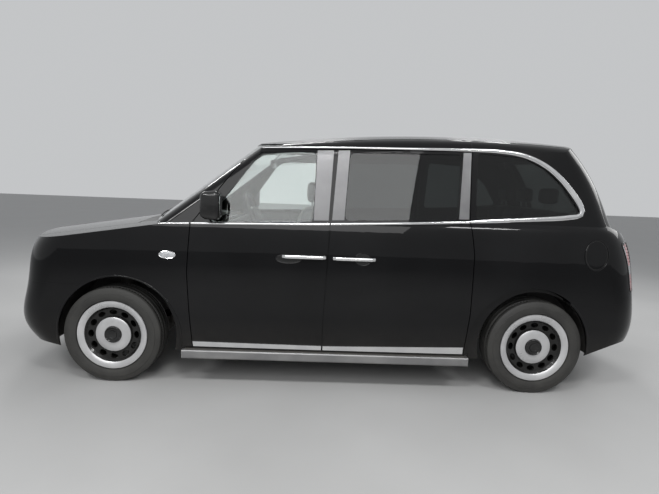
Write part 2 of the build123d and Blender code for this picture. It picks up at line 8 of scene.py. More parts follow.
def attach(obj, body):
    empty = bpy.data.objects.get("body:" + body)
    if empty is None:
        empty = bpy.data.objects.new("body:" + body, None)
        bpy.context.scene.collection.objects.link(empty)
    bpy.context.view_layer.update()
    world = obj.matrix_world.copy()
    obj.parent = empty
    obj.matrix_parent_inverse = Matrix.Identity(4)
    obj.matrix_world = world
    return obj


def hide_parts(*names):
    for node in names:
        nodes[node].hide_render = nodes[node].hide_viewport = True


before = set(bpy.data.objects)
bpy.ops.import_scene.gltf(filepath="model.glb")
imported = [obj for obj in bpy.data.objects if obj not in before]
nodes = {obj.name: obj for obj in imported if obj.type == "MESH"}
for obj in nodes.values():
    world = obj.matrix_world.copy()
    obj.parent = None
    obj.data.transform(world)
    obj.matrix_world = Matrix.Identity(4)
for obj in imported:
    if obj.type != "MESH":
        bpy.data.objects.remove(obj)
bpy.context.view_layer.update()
HANDS = {"left": 1, "right": -1}

# The view: a hand-held camera four metres off the left side, at chest height, tipped a little down.
# Its lens is 25 mm long and its picture 36 mm wide.
CAMERA_PLACE, CAMERA_LENS = (-0.1262, -4.0276, 1.4328), 25.2
yaw, pitch, roll = math.radians(1.177), math.radians(7.564), math.radians(-2.149)
ahead = Vector((math.sin(yaw) * math.cos(pitch), math.cos(yaw) * math.cos(pitch), -math.sin(pitch)))
level_right = Vector((math.cos(yaw), -math.sin(yaw), 0))
level_up = level_right.cross(ahead)
picture_right = math.cos(roll) * level_right - math.sin(roll) * level_up
picture_up = math.sin(roll) * level_right + math.cos(roll) * level_up
camera = bpy.data.objects.new("camera", bpy.data.cameras.new("camera"))
bpy.context.scene.collection.objects.link(camera)
camera.matrix_world = Matrix.Translation(CAMERA_PLACE) @ Matrix(
    (picture_right, picture_up, -ahead)).transposed().to_4x4()
camera.data.lens = CAMERA_LENS
camera.data.sensor_width = 36
camera.data.clip_end = 100
bpy.context.scene.camera = camera
bpy.context.scene.view_settings.view_transform = "Standard"

# The body shell: pressed steel panels in gloss black paint, dusty towards the sills.
# Roof, bonnet, wings, side frames, doors, tailgate and both painted bumpers are CAD panels.
wear = bpy.data.node_groups.new("surface_wear", "ShaderNodeTree")
COLOUR, NUMBER, VECTOR = "NodeSocketColor", "NodeSocketFloat", "NodeSocketVector"
for label, kind, value in (
    ("Dark", COLOUR, (0.01, 0.01, 0.01, 1)), ("Light", COLOUR, (0.02, 0.02, 0.02, 1)),
    ("Patch Scale", NUMBER, 3), ("Rough Low", NUMBER, 0.3), ("Rough High", NUMBER, 0.4),
    ("Grain Scale", NUMBER, 200), ("Grain Depth", NUMBER, 0.1), ("Dust", NUMBER, 0),
    ("Dust Height", NUMBER, 0.5),
):
    wear.interface.new_socket(name=label, in_out="INPUT", socket_type=kind).default_value = value
for label, kind in (("Color", COLOUR), ("Roughness", NUMBER), ("Normal", VECTOR)):
    wear.interface.new_socket(name=label, in_out="OUTPUT", socket_type=kind)
given = wear.nodes.new("NodeGroupInput").outputs
result = wear.nodes.new("NodeGroupOutput").inputs


def wire(tree, kind, sockets, **settings):
    """A new node in the tree, with links or plain values on its named inputs."""
    node = tree.nodes.new(kind)
    for label, value in settings.items():
        setattr(node, label, value)
    for label, value in sockets.items():
        if isinstance(value, bpy.types.NodeSocket):
            tree.links.new(value, node.inputs[label])
        else:
            node.inputs[label].default_value = value
    return node


# A mix node's two colour inputs and its two number inputs.
COLOUR_A, COLOUR_B, NUMBER_A, NUMBER_B = 6, 7, 2, 3
DUST_COLOUR, DUST_ROUGH, DUST_FULL = (0.16, 0.145, 0.125, 1), 0.8, 0.1
place = wear.nodes.new("ShaderNodeTexCoord").outputs["Object"]
patches = wire(wear, "ShaderNodeTexNoise", {"Vector": place, "Scale": given["Patch Scale"], "Detail": 6})
grain = wire(wear, "ShaderNodeTexNoise", {"Vector": place, "Scale": given["Grain Scale"], "Detail": 3})
spread = wire(wear, "ShaderNodeMapRange", {
    "Value": patches.outputs["Fac"], "From Min": 0.35, "From Max": 0.65})
shade = wire(wear, "ShaderNodeMix", {
    "Factor": spread.outputs["Result"], COLOUR_A: given["Dark"], COLOUR_B: given["Light"]}, data_type="RGBA")
polish = wire(wear, "ShaderNodeMapRange", {
    "Value": patches.outputs["Fac"], "From Min": 0.3, "From Max": 0.7,
    "To Min": given["Rough Low"], "To Max": given["Rough High"]})
height = wire(wear, "ShaderNodeSeparateXYZ", {"Vector": place})
low = wire(wear, "ShaderNodeMapRange", {
    "Value": height.outputs["Z"], "From Min": given["Dust Height"], "From Max": DUST_FULL, "To Max": 1})
speckle = wire(wear, "ShaderNodeTexNoise", {"Vector": place, "Scale": 14, "Detail": 8, "Roughness": 0.7})
settled = wire(wear, "ShaderNodeMath", {
    0: low.outputs["Result"], 1: speckle.outputs["Fac"]}, operation="MULTIPLY")
dust = wire(wear, "ShaderNodeMath", {0: settled.outputs[0], 1: given["Dust"]}, operation="MULTIPLY")
dusted = wire(wear, "ShaderNodeMix", {
    "Factor": dust.outputs[0], COLOUR_A: shade.outputs[2], COLOUR_B: DUST_COLOUR}, data_type="RGBA")
dulled = wire(wear, "ShaderNodeMix", {
    "Factor": dust.outputs[0], NUMBER_A: polish.outputs["Result"], NUMBER_B: DUST_ROUGH}, data_type="FLOAT")
relief = wire(wear, "ShaderNodeBump", {
    "Height": grain.outputs["Fac"], "Strength": given["Grain Depth"], "Distance": 0.001})
wear.links.new(dusted.outputs[2], result["Color"])
wear.links.new(dulled.outputs[0], result["Roughness"])
wear.links.new(relief.outputs["Normal"], result["Normal"])


paints = {}


def finish(name, dark, light, rough, patch=3, grain=200, depth=0.1, dust=0, dust_top=0.5, **plain):
    """A worn surface: two close colours in patches, a roughness range, fine grain and settled dust."""
    made = bpy.data.materials.new(name)
    made.use_nodes = True
    tree = made.node_tree
    shader = tree.nodes["Principled BSDF"]
    surface = wire(tree, "ShaderNodeGroup", {}, node_tree=wear)
    for label, value in (
        ("Dark", (*dark, 1)), ("Light", (*light, 1)), ("Patch Scale", patch), ("Rough Low", rough[0]),
        ("Rough High", rough[1]), ("Grain Scale", grain), ("Grain Depth", depth), ("Dust", dust),
        ("Dust Height", dust_top),
    ):
        surface.inputs[label].default_value = value
    for source, socket in (("Color", "Base Color"), ("Roughness", "Roughness"), ("Normal", "Normal")):
        tree.links.new(surface.outputs[source], shader.inputs[socket])
    for label, value in plain.items():
        shader.inputs[label.replace("_", " ")].default_value = value
    paints[name] = made
    return made


def dress(paint, *names):
    """Gives CAD nodes their finish."""
    for name in names:
        if nodes[name].material_slots:
            for slot in nodes[name].material_slots:
                slot.material = paint
        else:
            nodes[name].data.materials.append(paint)


body_paint = finish(
    "body_paint", (0.0022, 0.0022, 0.0026), (0.0045, 0.0045, 0.005), (0.3, 0.42), patch=1.5, grain=90,
    depth=0.01, dust=0.22, dust_top=0.5, Coat_Weight=0.75, Coat_Roughness=0.02, Coat_IOR=1.36,
    Specular_IOR_Level=0.05)
dress(body_paint, "roof_panel", "bonnet", "tailgate", "front_bumper", "rear_bumper")
for hand in HANDS:
    dress(body_paint, f"side_frame_{hand}", f"front_wing_{hand}", f"front_door_{hand}", f"rear_door_{hand}")

# Window glass: 5 mm safety glass, clear in the windscreen and front doors, dark behind.
# The panes are CAD nodes bonded into their frames.
clear_glass = finish(
    "clear_glass", (0.86, 0.92, 0.9), (0.9, 0.95, 0.93), (0.0, 0.012), depth=0, patch=2,
    Transmission_Weight=1.0, IOR=1.45)
dark_glass = finish(
    "dark_glass", (0.13, 0.145, 0.145), (0.16, 0.175, 0.17), (0.0, 0.015), depth=0, patch=2,
    Transmission_Weight=1.0, IOR=1.45)
dress(clear_glass, "windscreen", "partition_window")
dress(dark_glass, "rear_window", "quarter_windows")
for hand in HANDS:
    dress(clear_glass, f"front_door_window_{hand}")
    dress(dark_glass, f"rear_door_window_{hand}")

# Pillar covers: satin grey film and trim on the uprights between the side windows.
# Thin panels that follow the door frames, stuck on.
pillar_satin = finish(
    "pillar_satin", (0.12, 0.12, 0.123), (0.16, 0.16, 0.163), (0.32, 0.44), patch=5, grain=420, depth=0.05,
    Metallic=0.6)

# Each view: the two coordinates that are given, the way its rays go, and how far off they start.
SIGHTS = {
    "side": ((0, 2), Vector((0, 1, 0)), 2), "inside": ((0, 2), Vector((0, -1, 0)), 0),
    "nose": ((1, 2), Vector((1, 0, 0)), 4), "tail": ((1, 2), Vector((-1, 0, 0)), 4),
    "top": ((0, 1), Vector((0, 0, -1)), 4),
}
# A side ray that comes this deep has missed the left side.
SIDE_LIMIT = -0.55


def skin_of(sight, *names):
    """The outer surface of CAD panels in one view: its point at two coordinates, or a bit proud of it."""
    form = bmesh.new()
    for name in names:
        form.from_mesh(nodes[name].data)
    tree = BVHTree.FromBMesh(form)
    form.free()
    places, aim, back = SIGHTS[sight]

    def skin(first, second, proud=0.0):
        # A ray that falls into a seam is tried again a little to each side.
        for shift in (0, 0.006, -0.006, 0.014, -0.014, 0.024, -0.024):
            start = -back * aim
            start[places[0]], start[places[1]] = first + shift, second
            hit = tree.ray_cast(start, aim, back + 2.5)[0]
            if hit is not None and (sight != "side" or hit.y < SIDE_LIMIT):
                hit = hit - proud * aim
                hit[places[0]] = first
                return hit
        raise ValueError(f"no surface of {names} at {first}, {second}")

    skin.aim = aim
    return skin


def piece(name, form, body, slot, paint=None, crease=35, stands_for=()):
    """A finished piece from its bmesh, on its body. Without a paint it takes the one named as its slot."""
    bmesh.ops.remove_doubles(form, verts=form.verts[:], dist=1e-5)
    bmesh.ops.recalc_face_normals(form, faces=form.faces[:])
    data = bpy.data.meshes.new(name)
    form.to_mesh(data)
    form.free()
    data.shade_smooth()
    data.set_sharp_from_angle(angle=math.radians(crease))
    data.materials.append(paint or paints[slot])
    made = bpy.data.objects.new(name, data)
    bpy.context.scene.collection.objects.link(made)
    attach(made, body)
    if stands_for:
        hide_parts(*stands_for)
    return made


def pair(name, form, body, slot, paint=None, crease=35, stands_for=()):
    """The left piece from its bmesh, and its mirror image on the right."""
    for hand, side in HANDS.items():
        copy = form.copy()
        bmesh.ops.transform(copy, verts=copy.verts, matrix=Matrix.Diagonal((1, side, 1, 1)))
        stood_for = [node.format(hand) for node in stands_for]
        piece(f"{name}_{hand}", copy, body.format(hand), slot, paint, crease, stood_for)
    form.free()


def verts_in(geom):
    """The vertices among mixed geometry."""
    return [g for g in geom if isinstance(g, bmesh.types.BMVert)]


def backed(form, depth):
    """Gives an open patch its thickness."""
    walls = bmesh.ops.extrude_face_region(form, geom=form.faces[:])["geom"]
    bmesh.ops.translate(form, verts=verts_in(walls), vec=depth)
    return form


def cover(corners, columns, rows, skin, proud=0.0025, sunk=0.002):
    """A thin panel over the surface, between four corners of the view, from the top front one round."""
    top_front, top_rear, low_rear, low_front = (Vector(c) for c in corners)
    form = bmesh.new()
    bmesh.ops.create_grid(form, x_segments=columns, y_segments=rows, size=0.5)
    for vert in form.verts:
        u, v = vert.co.x + 0.5, vert.co.y + 0.5
        spot = low_front.lerp(low_rear, u).lerp(top_front.lerp(top_rear, u), v)
        vert.co = skin(spot.x, spot.y, proud)
    return backed(form, skin.aim * (proud + sunk))


def upright(left, right, low, high):
    """A rectangle's corners in an end view, in the order that a cover takes."""
    return (left, high), (right, high), (right, low), (left, low)


front_door_skin = skin_of("side", "front_door_left")
rear_door_skin = skin_of("side", "rear_door_left")
for name, body, skin, corners in (
    ("door_post_cover", "front_door_body_{}", front_door_skin,
     ((-0.166, 1.674), (-0.052, 1.678), (-0.074, 1.196), (-0.176, 1.193))),
    ("rear_door_front_cover", "rear_door_body_{}", rear_door_skin,
     ((-0.020, 1.678), (0.060, 1.682), (0.033, 1.202), (-0.050, 1.199))),
    ("rear_door_rear_cover", "rear_door_body_{}", rear_door_skin,
     ((0.853, 1.694), (0.908, 1.696), (0.896, 1.236), (0.826, 1.236))),
):
    pair(name, cover(corners, 4, 20, skin), body, "step_alloy", pillar_satin)

# Bright strips: polished aluminium along the waist and over the windows, looping round the quarter window.
# Each door and wing carries its own length, clipped on.
bright_trim = finish(
    "bright_trim", (0.72, 0.72, 0.73), (0.8, 0.8, 0.8), (0.1, 0.2), patch=9, grain=500, depth=0.01,
    Metallic=1.0)


def sweep(form, spots, sizes, segments=12, outward=(0, -1, 0)):
    """A rounded strip pulled along the spots, of one width and height or a list with one for each spot."""
    cap, last = None, None
    for i, spot in enumerate(spots):
        run = (Vector(spots[min(i + 1, len(spots) - 1)]) - Vector(spots[max(i - 1, 0)])).normalized()
        across = run.cross(Vector(outward)).normalized()
        rise = across.cross(run)
        width, thick = sizes[i] if isinstance(sizes, list) else sizes
        stand = Matrix((across * width / 2, rise * thick, run)).transposed().to_4x4()
        stand.translation = spot
        if cap is None:
            start = bmesh.ops.create_circle(form, cap_ends=True, segments=segments, radius=1, matrix=stand)
            cap = start["verts"][0].link_faces[0]
        else:
            grown = bmesh.ops.extrude_face_region(form, geom=[cap])["geom"]
            cap = next(g for g in grown if isinstance(g, bmesh.types.BMFace))
            bmesh.ops.transform(form, verts=verts_in(grown), matrix=stand @ last.inverted())
        last = stand
    return form


def strip_along(spots, sizes, outward, segments=8):
    """A strip that is a piece by itself."""
    return sweep(bmesh.new(), spots, sizes, segments, outward)


def smooth_path(points, step):
    """More points along a route: a Catmull-Rom curve through all its values, about a step apart."""
    rows = [Vector(p) for p in points]
    made = []
    for i in range(len(rows) - 1):
        before, start, end = rows[max(i - 1, 0)], rows[i], rows[i + 1]
        after = rows[min(i + 2, len(rows) - 1)]
        count = max(1, round((Vector(end[:2]) - Vector(start[:2])).length / step))
        for k in range(count):
            t = k / count
            made.append(0.5 * (
                2 * start + (end - before) * t + (2 * before - 5 * start + 4 * end - after) * t * t
                + (3 * start - before - 3 * end + after) * t ** 3))
    return made + [rows[-1]]


STRIP_HEIGHT = 0.006


def side_strip(route, skin, step=0.06, drop=0.0):
    """A strip on the left side. The route has x, z and width, and the surface is read the drop below it."""
    path = smooth_path(route, step)
    spots = [(x, skin(x, z - drop).y, z) for x, z, width in path]
    return sweep(bmesh.new(), spots, [(width, STRIP_HEIGHT) for x, z, width in path])


frame_skin = skin_of("side", "side_frame_left")
wing_skin = skin_of("side", "front_wing_left")
LOOP = (
    (-0.556, 1.682, 0.011), (-0.450, 1.686, 0.012), (-0.359, 1.689, 0.012), (-0.081, 1.697, 0.014),
    (0.266, 1.704, 0.016), (0.546, 1.709, 0.018), (0.896, 1.715, 0.022), (1.108, 1.713, 0.026),
    (1.286, 1.690, 0.030), (1.434, 1.628, 0.034), (1.551, 1.535, 0.038), (1.649, 1.417, 0.041),
    (1.686, 1.357, 0.040), (1.699, 1.322, 0.036), (1.689, 1.294, 0.033), (1.660, 1.281, 0.033),
    (1.610, 1.274, 0.036), (1.512, 1.262, 0.034), (1.237, 1.242, 0.028), (0.962, 1.222, 0.022),
    (0.907, 1.218, 0.020),
)
pair("window_loop_strip", side_strip(LOOP, frame_skin, step=0.025), "body", "bright_trim")
for name, body, skin, route in (
    ("wing_waist_strip", "body", wing_skin,
     ((-1.222, 1.138, 0.010), (-1.125, 1.142, 0.013), (-1.017, 1.146, 0.016))),
    ("front_door_waist_strip", "front_door_body_{}", front_door_skin,
     ((-1.004, 1.147, 0.016), (-0.608, 1.157, 0.017), (-0.180, 1.169, 0.018), (-0.068, 1.173, 0.018))),
    ("rear_door_waist_strip", "rear_door_body_{}", rear_door_skin,
     ((-0.058, 1.174, 0.018), (0.038, 1.178, 0.018), (0.414, 1.194, 0.018), (0.825, 1.214, 0.019),
      (0.897, 1.217, 0.020))),
):
    pair(name, side_strip(route, skin, drop=0.012), body, "bright_trim")
for name, body, skin, corners in (
    ("front_door_sill_trim", "front_door_body_{}", front_door_skin,
     ((-0.990, 0.325), (-0.096, 0.320), (-0.096, 0.289), (-0.987, 0.289))),
    ("rear_door_sill_trim", "rear_door_body_{}", rear_door_skin,
     ((-0.085, 0.319), (0.903, 0.339), (0.902, 0.289), (-0.085, 0.289))),
):
    pair(name, cover(corners, 24, 3, skin, proud=0.005), body, "bright_trim")

# Side steps: ribbed rubber treads let into the brushed alloy boards under the doors.
# The boards are CAD extrusions, the treads are glued on top.
step_alloy = finish(
    "step_alloy", (0.24, 0.24, 0.245), (0.31, 0.31, 0.31), (0.34, 0.5), patch=6, grain=160, depth=0.06,
    dust=0.5, dust_top=0.32, Metallic=0.8)
tread_rubber = finish(
    "tread_rubber", (0.018, 0.018, 0.018), (0.03, 0.029, 0.028), (0.6, 0.75), patch=12, grain=350, depth=0.3,
    dust=0.6, dust_top=0.6)
dress(step_alloy, "side_steps")
RIB_COUNT, RIB_PITCH, STEP_TOP = 7, 0.0095, 0.268
form = bmesh.new()
for row in range(RIB_COUNT):
    y = -0.928 + row * RIB_PITCH
    sweep(form, [(x, y, STEP_TOP) for x in (-1.05, -1.045, 0.922, 0.927)],
          [(0.002, 0.001), (0.0055, 0.003), (0.0055, 0.003), (0.002, 0.001)], segments=8, outward=(0, 0, 1))
pair("step_tread", form, "body", "tyre_rubber", tread_rubber)

# Tyres: radial road tyres with ribbed tread, shoulder blocks and round side walls, one per wheel.
# Moulded rubber, seated on the rim.
finish(
    "tyre_rubber", (0.016, 0.016, 0.0155), (0.03, 0.03, 0.028), (0.55, 0.72), patch=7, grain=260, depth=0.35,
    dust=0.14, dust_top=0.9)
AXLE_HEIGHT, TYRE_PLANE = 0.34, 0.79
AXLES = (("front", -1.56), ("rear", 1.425))
SIDE_WALL = (
    (0.0857, 0.229), (0.0857, 0.243), (0.095, 0.2505), (0.0990, 0.2515), (0.1030, 0.262), (0.1072, 0.280),
    (0.1058, 0.300), (0.1030, 0.3025), (0.0985, 0.322), (0.0915, 0.3345), (0.080, 0.3392),
)
RIBS = ((0.0455, 0.3398), (0.0445, 0.333), (0.0395, 0.333), (0.0385, 0.340), (0.0032, 0.340), (0.0024, 0.333))
# The shoulder blocks are the faces beyond this radius, between these distances from the tyre's middle.
BLOCK_RADIUS, BLOCK_FROM, BLOCK_TO = 0.337, 0.05, 0.08


def spun(profile, place, steps, close=False):
    """A shape turned round a wheel's axle. The profile has the distance out from the place and the radius."""
    form = bmesh.new()
    verts = [form.verts.new((0, out, radius)) for out, radius in profile]
    edges = [form.edges.new(both) for both in zip(verts, verts[1:])]
    if close:
        edges.append(form.edges.new((verts[-1], verts[0])))
    bmesh.ops.spin(
        form, geom=verts + edges, cent=(0, 0, 0), axis=(0, 1, 0), angle=math.tau, steps=steps,
        use_merge=True, use_normal_flip=False)
    bmesh.ops.remove_doubles(form, verts=form.verts[:], dist=1e-6)
    bmesh.ops.translate(form, verts=form.verts, vec=place)
    return form


half_tyre = SIDE_WALL + RIBS
whole_tyre = half_tyre + tuple((-out, radius) for out, radius in reversed(half_tyre))
for axle, axle_x in AXLES:
    form = spun(whole_tyre, (0, 0, 0), 96)
    middles = [(face, face.calc_center_median()) for face in form.faces]
    blocks = [
        face for face, middle in middles
        if math.hypot(middle.x, middle.z) > BLOCK_RADIUS and BLOCK_FROM < abs(middle.y) < BLOCK_TO]
    bmesh.ops.inset_individual(form, faces=blocks, thickness=0.0034, depth=-0.007)
    bmesh.ops.translate(form, verts=form.verts, vec=(axle_x, -TYRE_PLANE, AXLE_HEIGHT))
    pair(f"{axle}_road_tyre", form, axle + "_wheel_body_{}", "tyre_rubber", crease=28,
         stands_for=[axle + "_tyre_{}"])

# Wheels: black pierced steel wheels with a silver ring, a silver disc and a plain black cap.
# The wheel is the CAD node. Ring, disc and cap are pressed covers that clip to it.
wheel_black = finish(
    "wheel_black", (0.003, 0.003, 0.003), (0.008, 0.008, 0.008), (0.2, 0.32), patch=8, grain=300, depth=0.04,
    dust=0.05, dust_top=0.7, Coat_Weight=0.3, Coat_IOR=1.4, Specular_IOR_Level=0.3)
wheel_silver = finish(
    "wheel_silver", (0.5, 0.5, 0.505), (0.6, 0.6, 0.605), (0.24, 0.36), patch=7, grain=400, depth=0.04,
    dust=0.2, dust_top=0.5, Metallic=0.5)
cap_black = finish(
    "cap_black", (0.006, 0.006, 0.006), (0.014, 0.014, 0.014), (0.12, 0.25), patch=20, grain=300, depth=0.03)
# Profiles of the covers: the distance out from the wheel's middle, and the radius.
RING = (
    (0.0860, 0.2415), (0.0935, 0.2440), (0.0985, 0.2410), (0.0990, 0.2290), (0.0900, 0.2085),
    (0.0850, 0.1985), (0.0800, 0.1950), (0.0760, 0.1945), (0.0790, 0.1985), (0.0850, 0.2260),
)
DISC = (
    (0.0600, 0.1262), (0.0660, 0.1255), (0.0745, 0.1225), (0.0775, 0.1180), (0.0800, 0.0900),
    (0.0790, 0.0610), (0.0740, 0.0592),
)
CAP = (
    (0.0740, 0.0572), (0.0895, 0.0567), (0.0935, 0.0545), (0.0945, 0.0490), (0.0905, 0.0450),
    (0.0900, 0.0330), (0.0950, 0.0300), (0.0965, 0.0240), (0.0940, 0.0190), (0.0930, 0.0004),
)
for axle, axle_x in AXLES:
    for name, profile, paint, slot, closed in (
        ("trim_ring", RING, wheel_silver, "wheel_silver", True),
        ("hub_disc", DISC, wheel_silver, "wheel_silver", False),
        ("hub_cap", CAP, cap_black, "gloss_plastic", False),
    ):
        form = spun([(-out, rim) for out, rim in profile], (axle_x, -TYRE_PLANE, AXLE_HEIGHT), 64, closed)
        pair(f"{axle}_{name}", form, axle + "_wheel_body_{}", slot, paint, crease=30)
for hand in HANDS:
    dress(wheel_black, f"front_wheel_{hand}", f"rear_wheel_{hand}")

# Brake shields: pressed steel plates behind the brake discs, dark behind the wheels' holes.
# Bolted to the knuckles and to the rear axle. The front ones stop above the lower arms.
shield_steel = finish(
    "shield_steel", (0.012, 0.012, 0.012), (0.022, 0.021, 0.02), (0.45, 0.65), patch=12, grain=260, depth=0.2,
    dust=0.3, dust_top=0.8, Metallic=0.3)
SHIELD = (
    (0.0620, 0.064), (0.0620, 0.1985), (0.0520, 0.2060), (0.0470, 0.2045), (0.0570, 0.1960), (0.0570, 0.064))
FRONT_SHIELD_FOOT = 0.253
for axle, axle_x in AXLES:
    form, ride = spun(SHIELD, (axle_x, -TYRE_PLANE, AXLE_HEIGHT), 48, True), "body"
    if axle == "front":
        ride = "knuckle_body_{}"
        bmesh.ops.bisect_plane(
            form, geom=form.verts[:] + form.edges[:] + form.faces[:], plane_co=(0, 0, FRONT_SHIELD_FOOT),
            plane_no=(0, 0, -1), clear_outer=True)
        bmesh.ops.holes_fill(form, edges=[edge for edge in form.edges if edge.is_boundary], sides=0)
    pair(f"{axle}_brake_shield", form, ride, "chassis_metal", shield_steel)

# Wheel arch lips: the rolled edge of the wing, side frame and bumpers round each opening.
# Formed from the panels, painted with them.
LIP_READ_OUT = 0.006
for name, centre_x, radius, skin, first, last in (
    ("front_arch_lip", -1.5, 0.4315, skin_of("side", "front_wing_left", "front_bumper"), -7, 185),
    ("rear_arch_lip", 1.362, 0.4335, skin_of("side", "side_frame_left", "rear_bumper"), -1, 184),
):
    spots = []
    for turn in range(first, last + 1, 4):
        x, z = math.cos(math.radians(turn)), math.sin(math.radians(turn))
        surface = skin(centre_x + (radius + LIP_READ_OUT) * x, AXLE_HEIGHT + (radius + LIP_READ_OUT) * z)
        spots.append((centre_x + radius * x, surface.y, AXLE_HEIGHT + radius * z))
    pair(name, sweep(bmesh.new(), spots, (0.014, 0.005)), "body", "body_paint")

# Door handles: bright bars over black oval grips in the door skins.
# Die-cast and chromed, bolted through the doors.
gloss_plastic = finish(
    "gloss_plastic", (0.008, 0.008, 0.008), (0.016, 0.016, 0.016), (0.12, 0.24), patch=10, grain=300,
    depth=0.02)


def oval(centre, half, skin, rise, rings=6, segments=40, depth=0.004):
    """A round patch over the surface. Rise gives how far it stands out at each share of its radius."""
    form = bmesh.new()
    bmesh.ops.create_circle(form, cap_ends=True, segments=segments, radius=1)
    form.faces.ensure_lookup_table()
    middle = form.faces[0]
    for _ in range(rings - 1):
        bmesh.ops.inset_region(form, faces=[middle], thickness=1 / rings, use_even_offset=True)
    bmesh.ops.poke(form, faces=[middle])
    for vert in form.verts:
        share = min(1.0, math.hypot(vert.co.x, vert.co.y))
        vert.co = skin(centre[0] + half[0] * vert.co.x, centre[1] + half[1] * vert.co.y, rise(share))
    return backed(form, skin.aim * depth)


def ring(centre, half, skin, size, steps=48, proud=0.0):
    """A closed round strip over the surface."""
    turns = [k * math.tau / steps for k in range(steps + 1)]
    spots = [
        skin(centre[0] + half[0] * math.cos(turn), centre[1] + half[1] * math.sin(turn), proud)
        for turn in turns]
    return strip_along(spots, size, -skin.aim)


# One end of a handle bar: how far along from its tip, and its place across the cab.
HANDLE_END = ((0.0, -0.925), (0.008, -0.944), (0.026, -0.9535), (0.06, -0.9555))
HANDLE_SIZES = [(0.019, 0.005), (0.022, 0.0055)] + [(0.024, 0.006)] * 4 + [(0.022, 0.0055), (0.019, 0.005)]
for name, first, last, z, cup, cup_half, skin in (
    ("front_door", -0.385, -0.080, 0.948, (-0.338, 0.930), (0.088, 0.030), front_door_skin),
    ("rear_door", -0.040, 0.257, 0.945, (0.168, 0.943), (0.056, 0.043), rear_door_skin),
):
    body = name + "_body_{}"
    route = [(first + along, y, z) for along, y in HANDLE_END]
    route += [(last - along, y, z) for along, y in reversed(HANDLE_END)]
    bar = sweep(bmesh.new(), route, HANDLE_SIZES, segments=16)
    pair(f"{name}_grab", bar, body, "bright_trim", stands_for=[name + "_handle_{}"])
    grip = oval(cup, cup_half, skin, lambda share: 0.0006 + 0.0022 * share ** 4)
    pair(f"{name}_grip_cup", grip, body, "gloss_plastic")
    pair(f"{name}_cup_edge", ring(cup, cup_half, skin, (0.007, 0.004)), body, "body_paint")

# Side repeaters and fuel flap: pearl oval lamps on the wings, an oval flap on the left rear quarter.
# The lamps clip in. The flap is painted with the body and hinged behind its gap.
pearl_lens = finish(
    "pearl_lens", (0.36, 0.37, 0.385), (0.48, 0.49, 0.5), (0.12, 0.2), patch=30, grain=300, depth=0.04,
    Coat_Weight=1.0)
gap_black = finish(
    "gap_black", (0.002, 0.002, 0.002), (0.004, 0.004, 0.004), (0.6, 0.8), patch=10, grain=200, depth=0.1)
REPEATER, REPEATER_HALF = (-1.160, 0.929), (0.055, 0.0245)
form = oval(REPEATER, REPEATER_HALF, wing_skin, lambda share: 0.011 * math.sqrt(1.001 - share ** 2))
pair("side_repeater", form, "body", "lamp_glass", pearl_lens)
form = ring(REPEATER, REPEATER_HALF, wing_skin, (0.006, 0.004))
pair("side_repeater_rim", form, "body", "bright_trim")
FLAP, FLAP_HALF = (1.79, 1.022), (0.074, 0.096)
form = oval(FLAP, FLAP_HALF, frame_skin, lambda share: 0.002 if share < 0.97 else 0.001)
piece("fuel_flap", form, "body", "body_paint")
for name, half, size, slot, paint in (
    ("fuel_flap_gap", (0.0765, 0.0985), (0.006, 0.0008), "gloss_plastic", gap_black),
    ("fuel_flap_rim", (0.0835, 0.1055), (0.010, 0.005), "body_paint", body_paint),
):
    piece(name, ring(FLAP, half, frame_skin, size), "body", slot, paint)

# Door mirrors: moulded shells with a framed glass facing back, on short arms.
# Gloss black plastic, screwed to the doors' front corners.
mirror_silver = finish(
    "mirror_silver", (0.8, 0.81, 0.82), (0.84, 0.85, 0.86), (0.01, 0.03), patch=4, grain=100, depth=0.0,
    Metallic=1.0)


def rounded(form, low, high, radius, segments=4):
    """A block with rounded edges, added to the bmesh."""
    low, high = Vector(low), Vector(high)
    size = Matrix.Diagonal((*(high - low), 1))
    made = bmesh.ops.create_cube(form, size=1, matrix=Matrix.Translation((low + high) / 2) @ size)
    edges = list(dict.fromkeys(e for v in made["verts"] for e in v.link_edges))
    bmesh.ops.bevel(
        form, geom=edges, offset=radius, segments=segments, affect="EDGES", profile=0.5, material=-1,
        clamp_overlap=True)
    return form


SHELL_BACK, SHELL_DEPTH, SHELL_Y, SHELL_Z = -0.795, 0.129, -0.944, 1.278
form = rounded(bmesh.new(), (-0.924, -1.017, 1.176), (SHELL_BACK, -0.872, 1.374), 0.034, 5)
for vert in form.verts:
    share = (SHELL_BACK - vert.co.x) / SHELL_DEPTH
    vert.co.z = SHELL_Z + (vert.co.z - SHELL_Z) * (1 - 0.16 * share ** 2)
    vert.co.y = SHELL_Y + (vert.co.y - SHELL_Y) * (1 - 0.12 * share ** 2)
back = max(form.faces, key=lambda face: face.normal.x * face.calc_area())
bmesh.ops.inset_region(form, faces=[back], thickness=0.004)
bmesh.ops.translate(form, verts=back.verts, vec=(-0.012, 0, 0))
rounded(form, (-0.895, -0.905, 1.190), (-0.838, -0.845, 1.232), 0.012)
pair("mirror_shell", form, "front_door_body_{}", "gloss_plastic",
     stands_for=["door_mirror_{}"])
form = rounded(bmesh.new(), (-0.8065, -0.982, 1.213), (-0.8015, -0.907, 1.337), 0.0022, 2)
pair("mirror_glass", form, "front_door_body_{}", "bright_trim", mirror_silver)

